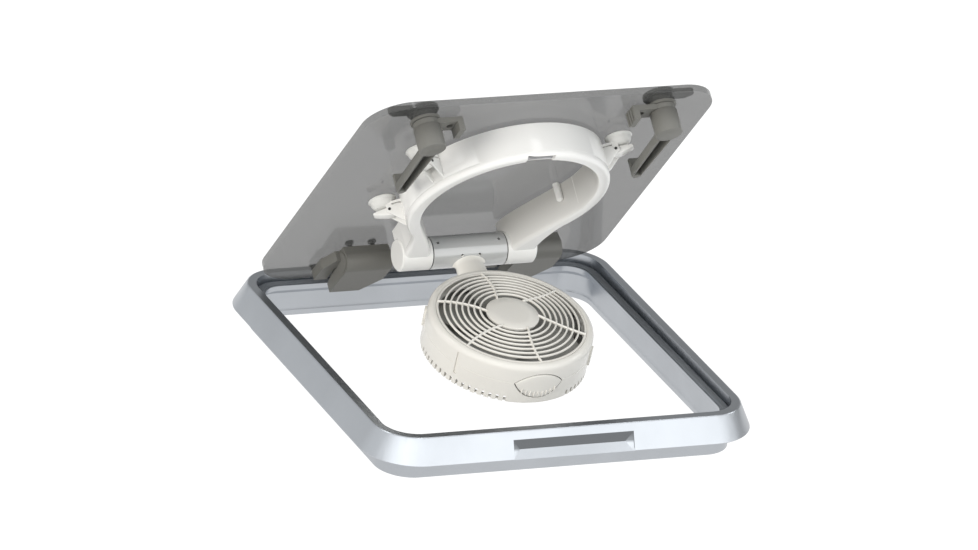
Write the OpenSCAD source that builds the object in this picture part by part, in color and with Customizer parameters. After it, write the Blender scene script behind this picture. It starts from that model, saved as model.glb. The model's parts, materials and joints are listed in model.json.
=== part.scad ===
// Hatch fan: a deck hatch whose glazed lid carries a folding ring-mounted fan.
// Origin: centre of the frame's lower edge. X runs along the hinge, +Y towards the hinge, +Z up.

/* [Frame] */
// Side of the square top face of the frame
frame_w = 450; // [430:1:480]
// Corner radius of the top face
frame_r = 47.5; // [42:0.5:55]
// Overall height of the frame
frame_h = 53; // [50:0.5:60]
// Height of the sloping skirt
skirt_h = 29.5; // [27:0.5:32]
// How far the skirt flares out below the top face
skirt_flare = 14; // [10:0.5:18]
// Width of the flat strip round the top
strip_w = 10.6; // [9:0.1:12]
// How far the seal ledge reaches in from the outer edge
ledge_in = 22.5; // [21.5:0.1:25]
// Thickness of the spigot wall below the skirt
spigot_wall = 7.5; // [6:0.1:9]
// Inset of the spigot's outer face
spigot_in = 8.5; // [7:0.1:10]

/* [Lid] */
// Thickness of the pane
pane_t = 8; // [6:0.1:9]
// Depth of the pane's underside below the frame's top face
seat_depth = 10; // [9.5:0.1:12]
// Gap between the pane's edge and the frame
pane_gap = 1; // [0.6:0.1:2]
// Angle at which the lid stands open
open_angle = 51.2; // [40:0.1:60]
// Height of the hinge axis above the frame's top face
pivot_up = 8; // [7.5:0.1:9]
// Diameter of the hinge pins
hinge_pin_d = 4; // [3:0.1:5]
// Place of the first hinge arm's centre along the hinge
hinge_x_first = -100; // [-108:1:-92]
// Distance between the two hinges
hinge_pitch = 213; // [190:1:220]

/* [Latches] */
// Distance of each latch from the middle between them
latch_x = 145.5; // [143:0.5:150]
// How far that middle lies to the right of the centre line
latch_shift = 1.5; // [0:0.5:3]
// Distance of the latches from the pane's front edge
latch_back = 32; // [30:1:36]
// Radius of the latch hub
hub_r = 15.7; // [14:0.1:17]
// Length of the inner lever
lever_len = 108; // [100:1:114]
// Length of the outer bar handle
bar_len = 26; // [22:1:34]

/* [Loop arm] */
// Outer radius of the loop arm
loop_r = 118; // [114:0.5:119]
// Width of the loop arm's band
band_w = 15; // [12:0.5:17]
// Height of the loop arm off the pane
loop_h = 45; // [42:0.5:46]

/* [Fan] */
// Radius of the pivot tube
tube_r = 19; // [18:0.1:20]
// Distance of the pivot tube's axis from the pane
tube_up = 33.5; // [33:0.1:36]
// Distance between the pivot tube's axis and the fan's axis
reach = 141.3; // [140:0.1:143]
// Angle by which the fan is folded out of the loop
fan_angle = 62; // [40:0.5:70]
// Outer radius of the fan's housing
head_r = 95.7; // [92:0.1:97]
// Depth of the fan's housing
head_h = 49.5; // [46:0.5:52]
// Width of the housing's front rim round the grille
front_rim_w = 9; // [7:0.1:14]
// Radius of the grille's centre disc
badge_r = 30.6; // [28:0.1:33]
// Number of rings in the grille
rings = 7; // [5:1:8]
// Number of grille spokes
spokes = 6; // [5:1:8]
// Number of fan blades
blades = 5; // [4:1:7]

/* [Hidden] */
$fn = 96;

// Shared clearances
overrun = 1;
seat_gap = 0.3;
run_gap = 0.05;
fine_gap = 0.15;

// Places of the main axes and faces
half_w = frame_w / 2;
top_z = frame_h;
skirt_z = top_z - skirt_h;
seat_z = top_z - seat_depth;
seal_h = 1.8;
ledge_z = seat_z - seat_gap - seal_h;
ledge_t = 6;
pane_half = half_w - strip_w - pane_gap;
pane_len = 2 * pane_half;
pane_r = frame_r;
hinge_pin_r = hinge_pin_d / 2;
knuckle_wall = 3.5;
knuckle_r = hinge_pin_r + knuckle_wall;
pivot_past = 0.1;
pivot_y = half_w - strip_w + pivot_past;
pivot_z = top_z + pivot_up;

// Sweeps a profile of [distance out from the top edge, height] round a rounded square
module swept_square(half, corner, profile) {
    run = half - corner;
    for (turn = [0:3])
        rotate([0, 0, turn * 90]) {
            translate([run, run, 0])
                rotate_extrude(angle = 90)
                    translate([corner, 0])
                        polygon(profile);
            translate([half, run, 0])
                rotate([90, 0, 0])
                    linear_extrude(2 * run)
                        polygon(profile);
        }
}

module rounded_square(half, corner) {
    run = half - corner;
    square([2 * half, 2 * run], center = true);
    square([2 * run, 2 * half], center = true);
    for (sx = [-1, 1], sy = [-1, 1])
        translate([sx * run, sy * run])
            circle(corner);
}

// Places children drawn in the lid's own frame: X, distance from the hinge edge, distance inwards
module on_lid() {
    translate([0, pivot_y, pivot_z])
        rotate([-open_angle, 0, 0])
            translate([0, pane_half - pivot_y, seat_z - pivot_z])
                rotate([180, 0, 0])
                    children();
}

// Frame: one extruded section round a rounded square
edge_soft = 1.2;
groove_d = 1.2;
groove_h = 2.4;
spigot_out = -spigot_in;
wall_in = -(spigot_in + spigot_wall);
frame_profile = [
    [spigot_out, 0], [spigot_out, skirt_z], [skirt_flare - edge_soft, skirt_z],
    [skirt_flare, skirt_z + edge_soft], [edge_soft * skirt_flare / skirt_h, top_z - edge_soft],
    [-edge_soft, top_z], [-strip_w, top_z], [-strip_w, ledge_z], [-ledge_in, ledge_z],
    [-ledge_in, ledge_z - ledge_t], [wall_in, ledge_z - 2 * ledge_t],
    [wall_in, groove_h * 4], [wall_in - groove_d, groove_h * 3], [wall_in - groove_d, groove_h * 2],
    [wall_in, groove_h], [wall_in, 0]];

recess_half = 74;
recess_side = 9;
recess_depth = 9;
recess_down = 9;
recess_apex = 9;

module base_frame() {
    color([0.68, 0.71, 0.74])
    difference() {
        swept_square(half_w, frame_r, frame_profile);
        finger_recess();
        for (x = hinge_xs)
            for (side = [-1, 1])
                translate([x + side * bracket_screw_x, bracket_y, top_z - screw_long])
                    cylinder(r = screw_hole_r, h = screw_long + overrun);
    }
}

// Finger recess: a groove of two slanted faces that follows the sloping skirt
module finger_recess() {
    high = top_z - recess_down;
    apex = skirt_z + recess_apex;
    high_out = half_w + skirt_flare * recess_down / skirt_h;
    low_out = half_w + skirt_flare;
    back = low_out - recess_depth;
    past = low_out + 2 * overrun;
    hull() {
        translate([0, -high_out, high])
            flat_bar(recess_half, overrun / 2);
        translate([0, -past, high])
            flat_bar(recess_half, overrun / 2);
        translate([0, -back, apex])
            flat_bar(recess_half - recess_side, overrun / 2);
        translate([0, -low_out, skirt_z - overrun])
            flat_bar(recess_half, overrun / 2);
        translate([0, -past, skirt_z - overrun])
            flat_bar(recess_half, overrun / 2);
    }
}

module flat_bar(half, thick)
    translate([-half, -thick, 0])
        cube([2 * half, thick, thick]);

// Seal: a bead with a foot, lying on the ledge under the pane
seal_clear = 0.8;
seal_short = 1.2;
seal_out = strip_w + seal_clear;
seal_in = ledge_in - seal_short;
module lid_seal() {
    lip = (seal_in - seal_out) / 4;
    color([0.12, 0.12, 0.13])
        swept_square(half_w, frame_r,
            [[-seal_in, ledge_z], [-seal_out, ledge_z], [-seal_out, ledge_z + seal_h / 2],
             [-seal_out - lip, ledge_z + seal_h], [-seal_in + lip, ledge_z + seal_h],
             [-seal_in, ledge_z + seal_h / 2]]);
}

// Hinges: a bracket on the strip, a pin, and an arm that passes through a notch in the pane
hinge_xs = [hinge_x_first, hinge_x_first + hinge_pitch];
arm_half = 28;
knuckle_half = 15;
lug_t = 6;
lug_gap = 0.3;
bracket_wing = 12;
bracket_half = knuckle_half + lug_gap + lug_t + bracket_wing;
bracket_t = 2;
bracket_y = half_w - strip_w / 2;
bracket_screw_x = bracket_half - bracket_wing / 2;
screw_hole_r = 1.3;
screw_r = 1.25;
screw_head_r = 2.4;
screw_head_h = 1.4;
screw_long = 9;
screw_short = 0.5;

module hinge_bracket(x) {
    depth = strip_w - 2 * edge_soft;
    color([0.33, 0.33, 0.32])
    difference() {
        union() {
            translate([x - bracket_half, bracket_y - depth / 2, top_z])
                cube([2 * bracket_half, depth, bracket_t]);
            for (side = [-1, 1])
                translate([x + side * (knuckle_half + lug_gap + lug_t / 2) - lug_t / 2, 0, 0])
                    rotate([90, 0, 90])
                        linear_extrude(lug_t)
                            difference() {
                                union() {
                                    translate([pivot_y, pivot_z])
                                        circle(knuckle_r);
                                    polygon([[pivot_y - knuckle_r, pivot_z],
                                        [bracket_y - depth / 2, top_z + bracket_t / 2],
                                        [bracket_y + depth / 2, top_z + bracket_t / 2],
                                        [pivot_y + knuckle_r, pivot_z]]);
                                }
                                translate([pivot_y, pivot_z])
                                    circle(hinge_pin_r);
                            }
        }
        for (side = [-1, 1])
            translate([x + side * bracket_screw_x, bracket_y, top_z - overrun])
                cylinder(r = screw_r + fine_gap, h = bracket_t + 2 * overrun);
    }
}

module hinge_bracket_left() hinge_bracket(hinge_xs[0]);
module hinge_bracket_right() hinge_bracket(hinge_xs[1]);

pin_over = 1.5;
module hinge_pins() {
    half = knuckle_half + lug_gap + lug_t + pin_over;
    color([0.75, 0.75, 0.77])
    for (x = hinge_xs)
        translate([x - half, pivot_y, pivot_z])
            rotate([0, 90, 0])
                cylinder(r = hinge_pin_r, h = 2 * half);
}

module small_screw(long, shank, head, head_h) {
    difference() {
        union() {
            cylinder(r = head, h = head_h);
            translate([0, 0, -long])
                cylinder(r = shank, h = long);
        }
        translate([0, 0, head_h / 2])
            cylinder(r = head / 2, h = head_h, $fn = 6);
    }
}

module bracket_screws() {
    color([0.75, 0.75, 0.77])
    for (x = hinge_xs)
        for (side = [-1, 1])
            translate([x + side * bracket_screw_x, bracket_y, top_z + bracket_t])
                small_screw(screw_long - screw_short, screw_r, screw_head_r, screw_head_h);
}

// Pane: notched for the hinge arms and drilled for the latches
notch_gap = 1.2;
notch_depth = 17;
bush_r = 12;
bush_flange_r = 17;
bush_flange_h = 3;
bush_bore_r = 6.05;
latch_v = pane_len - latch_back;

module lid_pane() {
    color([0.45, 0.46, 0.46, 0.75])
    on_lid()
        difference() {
            translate([0, pane_half, -pane_t])
                linear_extrude(pane_t)
                    rounded_square(pane_half, pane_r);
            for (x = hinge_xs)
                translate([x - knuckle_half - notch_gap, -overrun, -pane_t - overrun])
                    cube([2 * (knuckle_half + notch_gap), notch_depth + overrun, pane_t + 2 * overrun]);
            for (side = [-1, 1])
                translate([side * latch_x + latch_shift, latch_v, -pane_t - overrun])
                    cylinder(r = bush_r, h = pane_t + 2 * overrun);
            for (x = hinge_xs)
                arm_screw_places(x)
                    translate([0, 0, -pane_t - overrun])
                        cylinder(r = arm_screw_r, h = pane_t + 2 * overrun);
        }
}

// Hinge arm: a barrel-topped clamp on the inside of the pane with a neck out to the pin
arm_low_v = 12;
arm_barrel_v = 66;
arm_barrel_r = 14;
arm_foot_h = 26;
arm_plate_t = 11;
arm_pad_t = 5;
arm_leaf_w = 18;
arm_leaf_low = 18;
arm_leaf_joint = 46;
arm_leaf_gap = 2.5;
arm_leaf_t = 12;
arm_cap_t = 1.5;
arm_cap_share = 0.8;
arm_cut = 20;
arm_bore_r = 2;
arm_bore_deep = 12;
neck_t = 9;
barrel_foot_share = 0.75;
arm_screw_r = 2.5;
arm_screw_head_r = 5;
arm_screw_head_h = 2.5;
arm_screw_deep = 10;
pin_v = pane_half - pivot_y;
pin_h = seat_z - pivot_z;

module arm_screw_places(x)
    for (dx = [-0.5, 0.5])
        translate([x + dx * arm_half, arm_barrel_v, 0])
            children();

// Sideways section of the clamp, drawn as distance from the hinge edge and from the pane
module arm_section() {
    translate([arm_barrel_v, arm_barrel_r])
        circle(arm_barrel_r);
    polygon([[arm_barrel_v - arm_barrel_r, 0], [arm_barrel_v + arm_barrel_r * barrel_foot_share, 0],
        [arm_barrel_v + arm_barrel_r, arm_barrel_r], [arm_barrel_v - arm_barrel_r, arm_barrel_r]]);
    polygon([[arm_low_v, arm_foot_h], [arm_low_v, arm_foot_h - arm_plate_t],
        [arm_barrel_v - arm_barrel_r, arm_pad_t], [arm_barrel_v, arm_barrel_r],
        [arm_barrel_v, 2 * arm_barrel_r]]);
}

// Section of the neck that leaves the clamp through the pane's notch
module arm_neck_section() {
    polygon([[pin_v, pin_h - knuckle_r], [notch_depth - notch_gap, -pane_t],
        [notch_depth - notch_gap, 0], [arm_low_v + neck_t, arm_foot_h - arm_plate_t / 2],
        [arm_low_v, arm_foot_h - arm_plate_t / 2], [arm_low_v, 0], [pin_v, pin_h + knuckle_r]]);
    translate([pin_v, pin_h])
        circle(knuckle_r);
}

module hinge_arm(x) {
    color([0.36, 0.36, 0.34])
    on_lid()
        difference() {
            union() {
                translate([x - arm_half, 0, 0])
                    rotate([90, 0, 90])
                        linear_extrude(2 * arm_half)
                            arm_section();
                translate([x - knuckle_half, 0, 0])
                    rotate([90, 0, 90])
                        linear_extrude(2 * knuckle_half)
                            arm_neck_section();
                translate([x - arm_half, 0, 0])
                    linear_extrude(arm_leaf_t)
                        polygon([[-arm_leaf_w, arm_leaf_low], [-arm_leaf_gap, arm_leaf_low],
                            [-arm_leaf_gap, arm_leaf_joint], [arm_leaf_gap, arm_leaf_joint],
                            [arm_leaf_gap, arm_barrel_v], [-arm_leaf_w / 3, arm_barrel_v],
                            [-arm_leaf_w, arm_leaf_joint]]);
                translate([x - arm_half - arm_cap_t, arm_barrel_v, arm_barrel_r])
                    rotate([0, 90, 0])
                        cylinder(r = arm_barrel_r * arm_cap_share, h = arm_cap_t + overrun);
            }
            translate([x - arm_half - overrun, pin_v, pin_h])
                rotate([0, 90, 0])
                    cylinder(r = hinge_pin_r + run_gap, h = 2 * arm_half + 2 * overrun);
            translate([x - arm_half - overrun, arm_barrel_v, arm_barrel_r])
                rotate([0, 90, 0])
                    cylinder(r = arm_bore_r, h = arm_bore_deep + overrun);
            translate([0, 0, -overrun])
                linear_extrude(arm_foot_h + 2 * arm_barrel_r)
                    translate([x + arm_half, arm_low_v])
                        polygon([[-arm_cut, -overrun], [overrun, -overrun],
                            [overrun, 2 * arm_cut * barrel_foot_share]]);
            arm_screw_places(x)
                translate([0, 0, -overrun])
                    cylinder(r = arm_screw_r, h = arm_screw_deep + overrun);
        }
}

module hinge_arm_left() hinge_arm(hinge_xs[0]);
module hinge_arm_right() hinge_arm(hinge_xs[1]);

module arm_screws() {
    color([0.4, 0.4, 0.4])
    on_lid()
        for (x = hinge_xs)
            arm_screw_places(x)
                translate([0, 0, -pane_t])
                    rotate([180, 0, 0])
                        small_screw(pane_t + arm_screw_deep - screw_short, arm_screw_r,
                            arm_screw_head_r, arm_screw_head_h);
}

// Latches: a flanged bush through the pane, a handle outside and a lever inside
module at_latch(side)
    translate([side * latch_x + latch_shift, latch_v, 0])
        children();

nut_h = 1.5;
module latch_bushes() {
    color([0.3, 0.3, 0.3])
    on_lid()
        for (side = [-1, 1])
            at_latch(side)
                difference() {
                    union() {
                        cylinder(r = bush_flange_r, h = bush_flange_h);
                        translate([0, 0, -pane_t - nut_h])
                            cylinder(r = bush_r, h = pane_t + nut_h + overrun);
                    }
                    translate([0, 0, -pane_t - nut_h - overrun])
                        cylinder(r = bush_bore_r, h = pane_t + nut_h + bush_flange_h + 2 * overrun);
                }
}

module bush_nuts() {
    color([0.3, 0.3, 0.3])
    on_lid()
        for (side = [-1, 1])
            at_latch(side)
                translate([0, 0, -pane_t - nut_h])
                    difference() {
                        cylinder(r = bush_flange_r, h = nut_h);
                        translate([0, 0, -overrun])
                            cylinder(r = bush_r, h = nut_h + 2 * overrun);
                    }
}

spindle_r = 6;
knob_r = 18.5;
knob_h = 4;
knob_dome = 3.5;
knob_curve_r = 50;
bar_w = 15;
bar_t = 6;
knob_gap = 0.4;
cam_t = 6;
hub_top = 38;
cam_low = bush_flange_h + knob_gap;
hub_low = cam_low + cam_t;

// Outer handle: domed knob, bar with a chamfered tip, and the square-ended spindle
module outer_handle(side) {
    base = -pane_t - nut_h - knob_gap;
    color([0.38, 0.38, 0.36])
    on_lid()
        at_latch(side)
            union() {
                translate([0, 0, base])
                    rotate([180, 0, 0])
                        rotate_extrude()
                            intersection() {
                                square([knob_r, knob_h + knob_dome]);
                                translate([0, knob_h + knob_dome - knob_curve_r])
                                    circle(knob_curve_r, $fn = 160);
                            }
                translate([0, 0, base - bar_t])
                    linear_extrude(bar_t)
                        polygon([[0, -bar_w / 2], [side * (hub_r + bar_len - bar_w / 2), -bar_w / 2],
                            [side * (hub_r + bar_len), 0],
                            [side * (hub_r + bar_len), bar_w / 3],
                            [side * (hub_r + bar_len - bar_w / 6), bar_w / 2], [0, bar_w / 2]]);
                translate([0, 0, base - overrun])
                    cylinder(r = spindle_r, h = hub_top - lever_cap - base + overrun);
            }
}
lever_cap = 6;

module outer_handle_left() outer_handle(-1);
module outer_handle_right() outer_handle(1);

// Inner lever: a hub and an open channel with a hooked end
lever_w = 17;
lever_end_w = 11.5;
lever_wall = 2;
lever_rail = 5;
lever_h = 15;
lever_hook = 7;
module inner_lever(side) {
    low = hub_top - lever_h;
    color([0.4, 0.4, 0.38])
    on_lid()
        at_latch(side)
            difference() {
                union() {
                    translate([0, 0, hub_low])
                        cylinder(r = hub_r, h = hub_top - hub_low);
                    translate([0, 0, low])
                        linear_extrude(lever_h)
                            polygon([[-lever_w / 2, 0], [-lever_end_w / 2, -lever_len + lever_end_w / 3],
                                [-lever_end_w / 6, -lever_len], [lever_end_w / 6, -lever_len],
                                [lever_end_w / 2, -lever_len + lever_end_w / 3], [lever_w / 2, 0]]);
                    translate([-lever_end_w / 2, -lever_len + lever_end_w / 3, low - lever_hook])
                        cube([lever_end_w, lever_w / 3, lever_hook + overrun]);
                }
                translate([0, 0, low + lever_wall])
                    linear_extrude(lever_h)
                        polygon([[lever_rail - lever_w / 2, -hub_r],
                            [lever_rail - lever_end_w / 2, lever_end_w - lever_len],
                            [lever_end_w / 2 - lever_wall, lever_end_w - lever_len],
                            [lever_w / 2 - lever_wall, -hub_r]]);
                translate([0, 0, hub_low - overrun])
                    cylinder(r = spindle_r, h = hub_top - lever_cap - hub_low + overrun);
                translate([0, 0, hub_low - overrun])
                    cylinder(r = latch_screw_r, h = hub_top - hub_low + 2 * overrun);
            }
}
latch_screw_r = 2;
latch_screw_head = 4;
latch_screw_h = 2;

module inner_lever_left() inner_lever(-1);
module inner_lever_right() inner_lever(1);

// Cam: turns with the spindle and draws the lid down on the ledge
cam_reach = 40;
cam_hook = 11;
cam_half = 11;
cam_tooth_w = 3.2;
cam_tooth_pitch = 6.2;
cam_hole_r = 4;
cam_hole_x = 28;
module latch_cam(side) {
    color([0.42, 0.42, 0.4])
    on_lid()
        at_latch(side)
            mirror([side > 0 ? 0 : 1, 0, 0])
                difference() {
                    union() {
                        translate([0, 0, cam_low])
                            cylinder(r = hub_r - overrun, h = cam_t);
                        translate([-cam_reach, -cam_half, cam_low])
                            cube([cam_reach, 2 * cam_half, cam_t]);
                        translate([-cam_reach, -cam_half, cam_low])
                            cube([cam_t, 2 * cam_half, cam_t + cam_hook]);
                        for (tooth = [0:3])
                            translate([-cam_reach - overrun, -cam_half + tooth * cam_tooth_pitch, cam_low])
                                cube([2 * overrun, cam_tooth_w, cam_t + cam_hook]);
                    }
                    translate([0, 0, cam_low - overrun])
                        cylinder(r = spindle_r, h = cam_t + 2 * overrun);
                    translate([-cam_hole_x, 0, cam_low - overrun])
                        cylinder(r = cam_hole_r, h = cam_t + 2 * overrun);
                }
}
module latch_cam_left() latch_cam(-1);
module latch_cam_right() latch_cam(1);

module latch_screw(side) {
    color([0.75, 0.75, 0.77])
    on_lid()
        at_latch(side)
            translate([0, 0, hub_top])
                small_screw(lever_cap, latch_screw_r, latch_screw_head, latch_screw_h);
}
module latch_screws_left() latch_screw(-1);
module latch_screws_right() latch_screw(1);

// Loop arm: a band that runs round the folded fan and in to the two pivot sleeves
tube_v = 116;
loop_v = tube_v + reach;
loop_base_h = 3;
cover_t = 8;
seam_t = 0.2;
inner_r = loop_r - band_w;
sleeve_in = 47;
sleeve_out = 82;
outer_turn = 128;
inner_turn = 104;
arc_steps = 30;
sweep_steps = 12;

function bezier(a, b, c, d, t) =
    a * pow(1 - t, 3) + b * 3 * t * pow(1 - t, 2) + c * 3 * t * t * (1 - t) + d * pow(t, 3);

function arc_points(radius, turn) =
    [for (i = [0:arc_steps]) let (a = turn * i / arc_steps) [radius * sin(a), loop_v + radius * cos(a)]];

function sweep_points(radius, turn, end_x, end_v, pull) =
    let (a = [radius * sin(turn), loop_v + radius * cos(turn)],
         b = a + pull * [cos(turn), -sin(turn)],
         c = [end_x, end_v + pull])
    [for (i = [1:sweep_steps]) bezier(a, b, c, [end_x, end_v], i / sweep_steps)];

function reversed(list) = [for (i = [len(list) - 1:-1:0]) list[i]];
function other_side(list) = [for (p = list) [-p[0], p[1]]];

function outer_line(inset) = concat(
    arc_points(loop_r - inset, outer_turn),
    sweep_points(loop_r - inset, outer_turn, sleeve_out - inset, tube_v, band_w));
function inner_line(inset) = concat(
    arc_points(inner_r + inset, inner_turn),
    sweep_points(inner_r + inset, inner_turn, sleeve_in + inset, tube_v, 2 * band_w));

// Closed outline of the band: out along both outer sides and back along the inner ones
module band_outline(inset) {
    outer = outer_line(inset);
    inner = inner_line(inset);
    polygon(concat(
        reversed(outer), other_side([for (i = [1:len(outer) - 1]) outer[i]]),
        other_side(reversed(inner)), [for (i = [1:len(inner) - 1]) inner[i]]));
}

shell_top = loop_h - cover_t - seam_t;
module at_tube()
    translate([0, tube_v, tube_up])
        children();

spindle_tube_r = 5;
boss_r = 4;
boss_share = 0.66;
boss_turn = 62;
clip_half = 17;
clip_depth = 6;
clip_h = 9;

module loop_shell() {
    color([0.94, 0.93, 0.91])
    on_lid()
        difference() {
            union() {
                translate([0, 0, loop_base_h])
                    linear_extrude(shell_top - loop_base_h)
                        band_outline(0);
                for (side = [-1, 1])
                    at_tube()
                        translate([side * (sleeve_in + sleeve_out) / 2 - (sleeve_out - sleeve_in) / 2, 0, 0])
                            rotate([0, 90, 0])
                                cylinder(r = tube_r, h = sleeve_out - sleeve_in);
                at_turn(boss_turn, inner_r - boss_r / 2)
                    translate([0, 0, loop_base_h])
                        cylinder(r = boss_r, h = shell_top * boss_share);
                for (foot = foot_turns)
                    at_turn(foot, loop_r)
                        foot_yoke();
            }
            at_tube()
                rotate([0, 90, 0])
                    cylinder(r = spindle_tube_r, h = 4 * sleeve_out, center = true);
            for (foot = foot_turns)
                at_turn(foot, loop_r)
                    translate([0, foot_pin_out, foot_pin_h])
                        rotate([0, 90, 0])
                            cylinder(r = foot_pin_r, h = 2 * foot_half, center = true);
            for (side = [-1, 1])
                at_tube() {
                    translate([side * (sleeve_out - cap_deep), 0, 0])
                        rotate([0, side * 90, 0])
                            cylinder(r = tube_r - cap_wall, h = cap_deep + overrun);
                    translate([side * sleeve_out, 0, 0])
                        rotate([0, side * 90, 0])
                            cylinder(r = tube_r, h = loop_r);
                }
            inlet_place()
                cylinder(r = inlet_bore + inlet_room, h = tube_r + inlet_stand);
            for (turn = screw_turns)
                at_turn(turn, loop_r - band_w / 2)
                    translate([0, 0, shell_top - screw_long])
                        cylinder(r = screw_hole_r, h = screw_long + overrun);
        }
}
cap_deep = 3;
cap_wall = 3;
screw_turns = [40, 95, -40, -95];

// Turns from the loop's top; the child's own Y axis points away from the loop's centre
module at_turn(turn, radius)
    translate([0, loop_v, 0])
        rotate([0, 0, -turn])
            translate([0, radius, 0])
                children();

cover_back = 12;
cover_end = tube_v + tube_r + cover_back;
soft_step = 1.6;
module loop_cover() {
    color([0.96, 0.95, 0.93])
    on_lid()
        difference() {
            union()
                for (layer = [0:2])
                    translate([0, 0, shell_top + seam_t])
                        linear_extrude((layer + 1) * cover_t / 3)
                            intersection() {
                                band_outline(soft_step * layer * layer / 2);
                                translate([-loop_r, cover_end])
                                    square([2 * loop_r, 3 * loop_r]);
                            }
            translate([-clip_half, loop_v + inner_r - overrun, loop_h - clip_h])
                cube([2 * clip_half, clip_depth + overrun, clip_h + overrun]);
            for (turn = screw_turns)
                at_turn(turn, loop_r - band_w / 2)
                    translate([0, 0, shell_top - overrun])
                        cylinder(r = screw_r + fine_gap, h = cover_t + 3 * overrun);
        }
}

// Clip: catches the rim of the folded fan
module loop_clip() {
    color([0.9, 0.9, 0.88])
    on_lid()
        translate([-clip_half + fine_gap, loop_v + inner_r + overrun, shell_top + seam_t])
            cube([2 * (clip_half - fine_gap), clip_depth - 2 * overrun, cover_t - 2 * overrun]);
}

module loop_screws() {
    color([0.75, 0.75, 0.77])
    on_lid()
        for (turn = screw_turns)
            at_turn(turn, loop_r - band_w / 2)
                translate([0, 0, loop_h])
                    small_screw(cover_t + screw_long - screw_short, screw_r, screw_head_r, screw_head_h / 2);
}

// Suction feet on the outside of the loop
foot_turns = [63, 117, -63, -117];
foot_half = 9;
foot_out = 32;
cup_out = 21;
cup_r = 16.5;
cup_h = 8;
cup_lip = 1.2;
cup_neck_r = 6;
cup_mid_share = 0.72;
yoke_t = 3;
yoke_low = cup_h;
foot_pin_r = 1.5;
foot_pin_h = 17;
foot_pin_out = 14;

// Yoke: a bridge from the loop over the cup, with two ears for the lever's pin
module foot_yoke() {
    translate([-foot_half, -band_w / 2, yoke_low])
        cube([2 * foot_half, band_w / 2 + cup_out, yoke_t]);
    translate([0, cup_out, yoke_low])
        cylinder(r = foot_half, h = yoke_t);
    for (side = [-1, 1])
        translate([side * (foot_half - ear_t / 2) - ear_t / 2, foot_pin_out, 0])
            rotate([90, 0, 90])
                linear_extrude(ear_t)
                    union() {
                        translate([0, foot_pin_h])
                            circle(ear_r);
                        translate([-ear_r, yoke_low + overrun])
                            square([2 * ear_r, foot_pin_h - yoke_low - overrun]);
                    }
}
ear_t = 2.4;
ear_r = 3.6;

module suction_cups() {
    color([0.85, 0.87, 0.86])
    on_lid()
        for (foot = foot_turns)
            at_turn(foot, loop_r)
                translate([0, cup_out, 0])
                    rotate_extrude()
                        polygon([[0, 0], [cup_r, 0], [cup_r, cup_lip],
                            [cup_r - cup_lip, cup_h * (1 - cup_mid_share)],
                            [(cup_r + cup_neck_r) / 2, cup_h * cup_mid_share], [cup_neck_r, cup_h],
                            [0, cup_h]]);
}

module foot_pins() {
    color([0.75, 0.75, 0.77])
    on_lid()
        for (foot = foot_turns)
            at_turn(foot, loop_r)
                translate([0, foot_pin_out, foot_pin_h])
                    rotate([0, 90, 0])
                        cylinder(r = foot_pin_r, h = 2 * foot_half, center = true);
}

// Lever: a lens-shaped clamp blade that turns on the pin
blade_half = foot_half - ear_t - seat_gap;
module foot_lever(index) {
    lens_r = 34;
    lens_rise = 4;
    lens_under = 2;
    color([0.95, 0.94, 0.92])
    on_lid()
        at_turn(foot_turns[index], loop_r)
            difference() {
                union() {
                    translate([-blade_half, 0, 0])
                        rotate([90, 0, 90])
                            linear_extrude(2 * blade_half)
                                union() {
                                    translate([foot_pin_out, foot_pin_h])
                                        circle(ear_r);
                                    intersection() {
                                        translate([(foot_out + foot_pin_out) / 2,
                                                   foot_pin_h - lens_r + lens_rise])
                                            circle(lens_r);
                                        translate([foot_pin_out - ear_r, foot_pin_h - lens_under])
                                            square([foot_out - foot_pin_out + ear_r, lens_rise + lens_under]);
                                    }
                                }
                }
                translate([0, foot_pin_out, foot_pin_h])
                    rotate([0, 90, 0])
                        cylinder(r = foot_pin_r + run_gap, h = 4 * foot_half, center = true);
            }
}
module foot_lever_1() foot_lever(0);
module foot_lever_2() foot_lever(1);
module foot_lever_3() foot_lever(2);
module foot_lever_4() foot_lever(3);

// Pivot: caps, spindle and friction washers between the sleeves and the tube
cap_stand = 2;
module pivot_cap(side) {
    at_tube()
        translate([side * (sleeve_out - cap_deep), 0, 0])
            rotate([0, side * 90, 0])
                union() {
                    translate([0, 0, seat_gap])
                        cylinder(r = tube_r - cap_wall - fine_gap, h = cap_deep - seat_gap);
                    translate([0, 0, cap_deep])
                        cylinder(r1 = tube_r - fine_gap, r2 = tube_r - cap_stand, h = cap_stand);
                }
}

module pivot_cap_left() {
    color([0.9, 0.89, 0.87])
        on_lid()
            pivot_cap(-1);
}

module pivot_cap_right() {
    color([0.9, 0.89, 0.87])
        on_lid()
            pivot_cap(1);
}

// Power inlet: a socket on the hinge side of the right sleeve
inlet_bore = 2.75;
inlet_r = 5.2;
inlet_stand = 6;
inlet_room = 1.25;
inlet_x = (sleeve_in + sleeve_out) / 2;
module inlet_place()
    at_tube()
        translate([inlet_x, 0, 0])
            rotate([90, 0, 0])
                children();

module power_inlet() {
    color([0.9, 0.89, 0.87])
        on_lid()
            difference() {
                inlet_place()
                    cylinder(r = inlet_r, h = tube_r + inlet_stand);
                inlet_place()
                    cylinder(r = inlet_bore, h = tube_r + inlet_stand + overrun);
                at_tube()
                    rotate([0, 90, 0])
                        cylinder(r = tube_r, h = 2 * sleeve_out);
            }
}

washer_t = 1.2;
washer_gap = 0.1;
spindle_wall = 1.5;
tube_half = sleeve_in - washer_t - 2 * washer_gap;
module pivot_spindle() {
    color([0.75, 0.75, 0.77])
    on_lid()
        at_tube()
            rotate([0, 90, 0])
                difference() {
                    cylinder(r = spindle_tube_r, h = 2 * (sleeve_out - cap_deep), center = true);
                    cylinder(r = spindle_tube_r - spindle_wall, h = 2 * sleeve_out, center = true);
                }
}

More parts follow.
